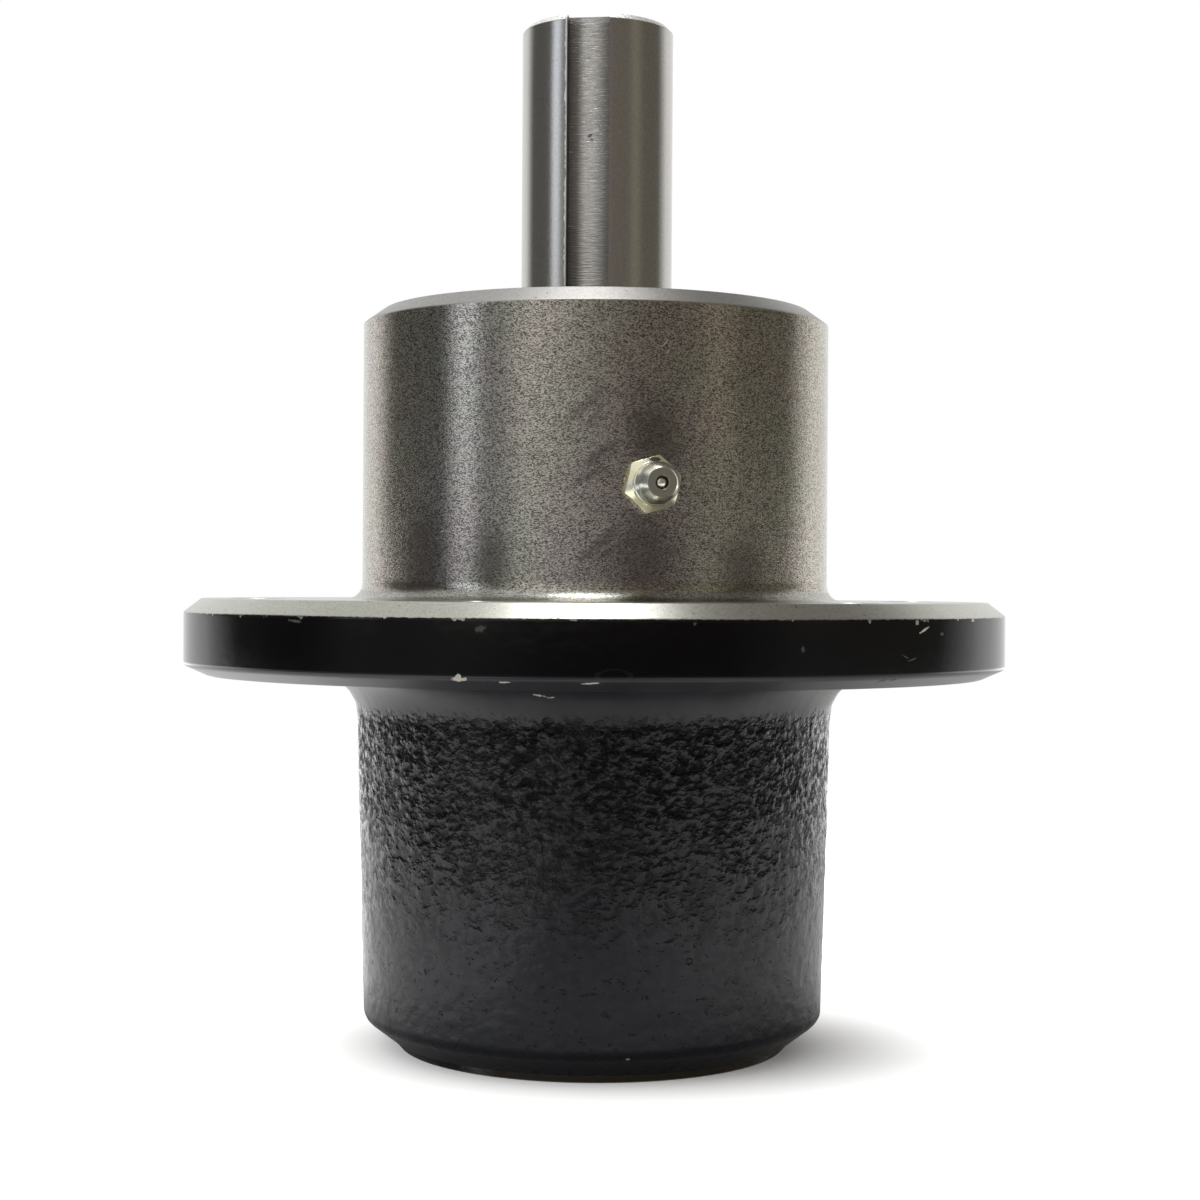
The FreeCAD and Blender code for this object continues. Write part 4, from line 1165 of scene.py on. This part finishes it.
crown = np.stack([
    np.linspace(5.2, 3.82, CROWN_ROWS),
    np.linspace(46.40, 47.22, CROWN_ROWS),
    np.ones(CROWN_ROWS),
], axis=1)
fitting_rows = np.array([
    # radius, distance from the shaft's axis, 1 where the row is hexagonal
    (0.9, 37.02, 0),
    (3.4, 37.02, 0),
    (4.0, 37.62, 0),
    (4.0, 43.9, 0),
    (4.0, 44.02, 0),
    (4.3, 44.02, 1),
    (5.2, 44.30, 1),
    (5.2, 46.30, 1),
    *crown,
    (3.80, 47.30, 0),
    (3.80, 47.90, 0),
    (3.72, 48.02, 0),
    (3.50, 48.12, 0),
    (2.75, 49.30, 0),
    (2.48, 49.72, 0),
    (2.48, 50.00, 0),
    (2.75, 50.20, 0),
    (3.45, 50.75, 0),
    (3.60, 50.95, 0),
    (3.56, 51.15, 0),
    (2.60, 53.00, 0),
    (2.48, 53.12, 0),
    (1.22, 53.12, 0),
    (1.10, 53.00, 0),
    (1.10, 52.42, 0),
    (1.60, 51.90, 0),
    (1.60, 45.72, 0),
    (0.9, 45.72, 0),
])
angles = HEX_CLOCK + np.arange(FITTING_AROUND) * (2 * math.pi / FITTING_AROUND)
from_flat = np.mod(angles - HEX_CLOCK, math.pi / 3) - math.pi / 6
hexagon = np.minimum(HEX_FLATS / 2 / np.cos(from_flat), HEX_CORNER_R)
turned = fitting_rows[:, :1]
reach = np.where(fitting_rows[:, 2:] > 0, np.minimum(hexagon, turned), turned)
row_height = np.broadcast_to(fitting_rows[:, 1:2], reach.shape)
fitting_grid = np.stack([reach * np.cos(angles), reach * np.sin(angles), row_height], axis=-1)
fitting = make_piece("grease_fitting_plated", fitting_grid, sharp=HEX_SHARP)
move_points(fitting, at_port)
print("Fitting rows:", len(fitting_rows))

# %% Finish of the fitting
ZINC = (0.95, 0.95, 0.84)
ZINC_YELLOW = (0.98, 0.92, 0.52)
TIP_GREY = (0.40, 0.385, 0.31)
DUST_DARK = (0.12, 0.12, 0.09)
GREASE_DARK = (0.045, 0.040, 0.032)
NOTCH_SHADE = (0.05, 0.05, 0.045)
NOTCH_ACROSS = 0.2
NOTCH_UP = 4.2
NOTCH_HALF_HIGH = 0.4

material, place, x, y, z = new_finish("plated_steel")
tree = material.node_tree
stain = grain(place, 0.4, 2.0, 0.6)
dust = grain(place, 3.0, 2.0, 0.6)
out = x * math.sin(PORT_ANGLE) - y * math.cos(PORT_ANGLE)
beside = x * math.cos(PORT_ANGLE) + y * math.sin(PORT_ANGLE)
up = z - PORT_HEIGHT
from_axis = (beside * beside + up * up).power(0.5)
on_hexagon = out.between(47.6, 47.2)
yellow = stain.between(0.25, 0.75) * on_hexagon
tip = out.between(53.0, 53.08)
grease_ring = from_axis.between(1.20, 1.12) * out.between(51.0, 51.5)
# A dent on the hexagon's top edge, drawn only as a painted shade
from_notch = (beside - NOTCH_ACROSS).power(2.0) + ((up - NOTCH_UP) / NOTCH_HALF_HIGH).power(2.0)
notch_shade = from_notch.between(1.2, 0.8) * on_hexagon
zinc = layered(
    ZINC,
    (yellow, ZINC_YELLOW),
    (tip, TIP_GREY),
    (dust.between(0.32, 0.26), DUST_DARK),
    (grease_ring, GREASE_DARK),
    (notch_shade * 0.85, NOTCH_SHADE),
)
end_finish(principled(
    tree, Base_Color=zinc, Metallic=1.0 - grease_ring, Roughness=0.20 + dust * 0.06 + tip * 0.12,
    Normal=bump(dust * 0.002),
))
dress(fitting, material, "housing", "plated_steel", "grease_fitting")

# %% [markdown]
# ## Bearings, seals and springs
# These pieces sit inside, and only the seals and the sleeve show from the ends. The CAD nodes already have
# their true shapes, so they keep their meshes and get the finish that each has on the bench.


# %% Finishes of the inner pieces
def inner_finish(name, base, dark, metallic, rough, lumps, depth):
    """A finish in two tones, mixed by fine noise of that many lumps to a millimetre."""
    inner, where, _, _, _ = new_finish(name)
    noise = grain(where, lumps, 3.0, 0.6)
    shade = tint(noise.between(0.62, 0.34), base, dark)
    end_finish(principled(
        inner.node_tree, Base_Color=shade, Metallic=metallic, Roughness=rough + noise * 0.12,
        Normal=bump(noise * depth),
    ))
    return inner


INNER_TABLE = [
    # name, base colour, dark colour, metallic, roughness, lumps to a millimetre, depth of the bump
    ("ball_steel", (0.95, 0.88, 0.78), (0.80, 0.72, 0.62), 1.0, 0.16, 1.5, 0.002),
    ("bearing_steel", (0.60, 0.59, 0.57), (0.46, 0.45, 0.43), 1.0, 0.12, 2.0, 0.003),
    ("cage_steel", (0.42, 0.41, 0.39), (0.27, 0.26, 0.24), 1.0, 0.26, 1.2, 0.010),
    ("seal_steel", (0.42, 0.41, 0.39), (0.34, 0.33, 0.315), 1.0, 0.24, 0.5, 0.006),
    ("seal_rubber", (0.018, 0.018, 0.018), (0.008, 0.008, 0.008), 0.0, 0.48, 2.5, 0.012),
    ("spring_steel", (0.52, 0.51, 0.50), (0.36, 0.35, 0.34), 1.0, 0.22, 3.0, 0.004),
    ("sleeve_steel", (0.54, 0.53, 0.51), (0.44, 0.43, 0.41), 1.0, 0.16, 1.5, 0.004),
]
INNER = {row[0]: inner_finish(*row) for row in INNER_TABLE}
PAIRED = {
    "bearing_cup": "bearing_steel",
    "bearing_cone": "bearing_steel",
    "bearing_rollers": "bearing_steel",
    "bearing_cage": "cage_steel",
    "seal_case": "seal_steel",
    "seal_lip": "seal_rubber",
    "seal_spring": "spring_steel",
}
INNER_NODES = {
    "grease_check_ball": "ball_steel",
    "upper_wear_sleeve": "sleeve_steel",
    "bearing_spacer": "sleeve_steel",
}
for end in ("lower", "upper"):
    INNER_NODES.update({f"{end}_{name}": finish for name, finish in PAIRED.items()})
for name, finish in INNER_NODES.items():
    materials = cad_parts[name].data.materials
    materials.clear()
    materials.append(INNER[finish])
print("Inner nodes finished:", len(INNER_NODES))

# %% [markdown]
# ## The check spring
# A coil of thin wire pushes the ball against the fitting's mouth. It has to shorten when the ball is
# pressed in, which a rigid CAD node can't, so a coil of its own takes that node's place.


# %% Wind the check spring
SPRING_SEAT = 45.72
SPRING_WIRE_R = 0.18
SPRING_COIL_R = 1.12
SPRING_HEIGHT = 4.33
SPRING_TURNS = 5
ROWS_PER_TURN = 20
WIRE_AROUND = 10


def coil(rows, columns):
    """A wire's circle carried along a helix: out by coil radius plus wire cosine, up by wire sine.

    The first and last rows shrink to the wire's middle, which closes its ends.
    """
    share = np.concatenate([[0], np.linspace(0, 1, rows), [1]])[:, None]
    wire_r = np.full((rows + 2, 1), SPRING_WIRE_R)
    wire_r[[0, -1]] = 0
    along_wire = share * SPRING_TURNS * 2 * math.pi
    around_wire = np.arange(columns)[None] * (2 * math.pi / columns)
    reach = SPRING_COIL_R + wire_r * np.cos(around_wire)
    rise = wire_r * np.sin(around_wire)
    lean = math.atan2(SPRING_HEIGHT, SPRING_TURNS * 2 * math.pi * SPRING_COIL_R)
    ahead = -rise * math.sin(lean)
    return np.stack([
        reach * np.cos(along_wire) - ahead * np.sin(along_wire),
        reach * np.sin(along_wire) + ahead * np.cos(along_wire),
        SPRING_SEAT + SPRING_WIRE_R + share * SPRING_HEIGHT + rise * math.cos(lean),
    ], axis=-1)


check_coil = make_piece("check_coil", coil(ROWS_PER_TURN * SPRING_TURNS, WIRE_AROUND), joined=False)
move_points(check_coil, at_port)
dress(check_coil, INNER["spring_steel"], "housing", "spring_steel", "grease_check_spring")
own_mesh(check_coil)
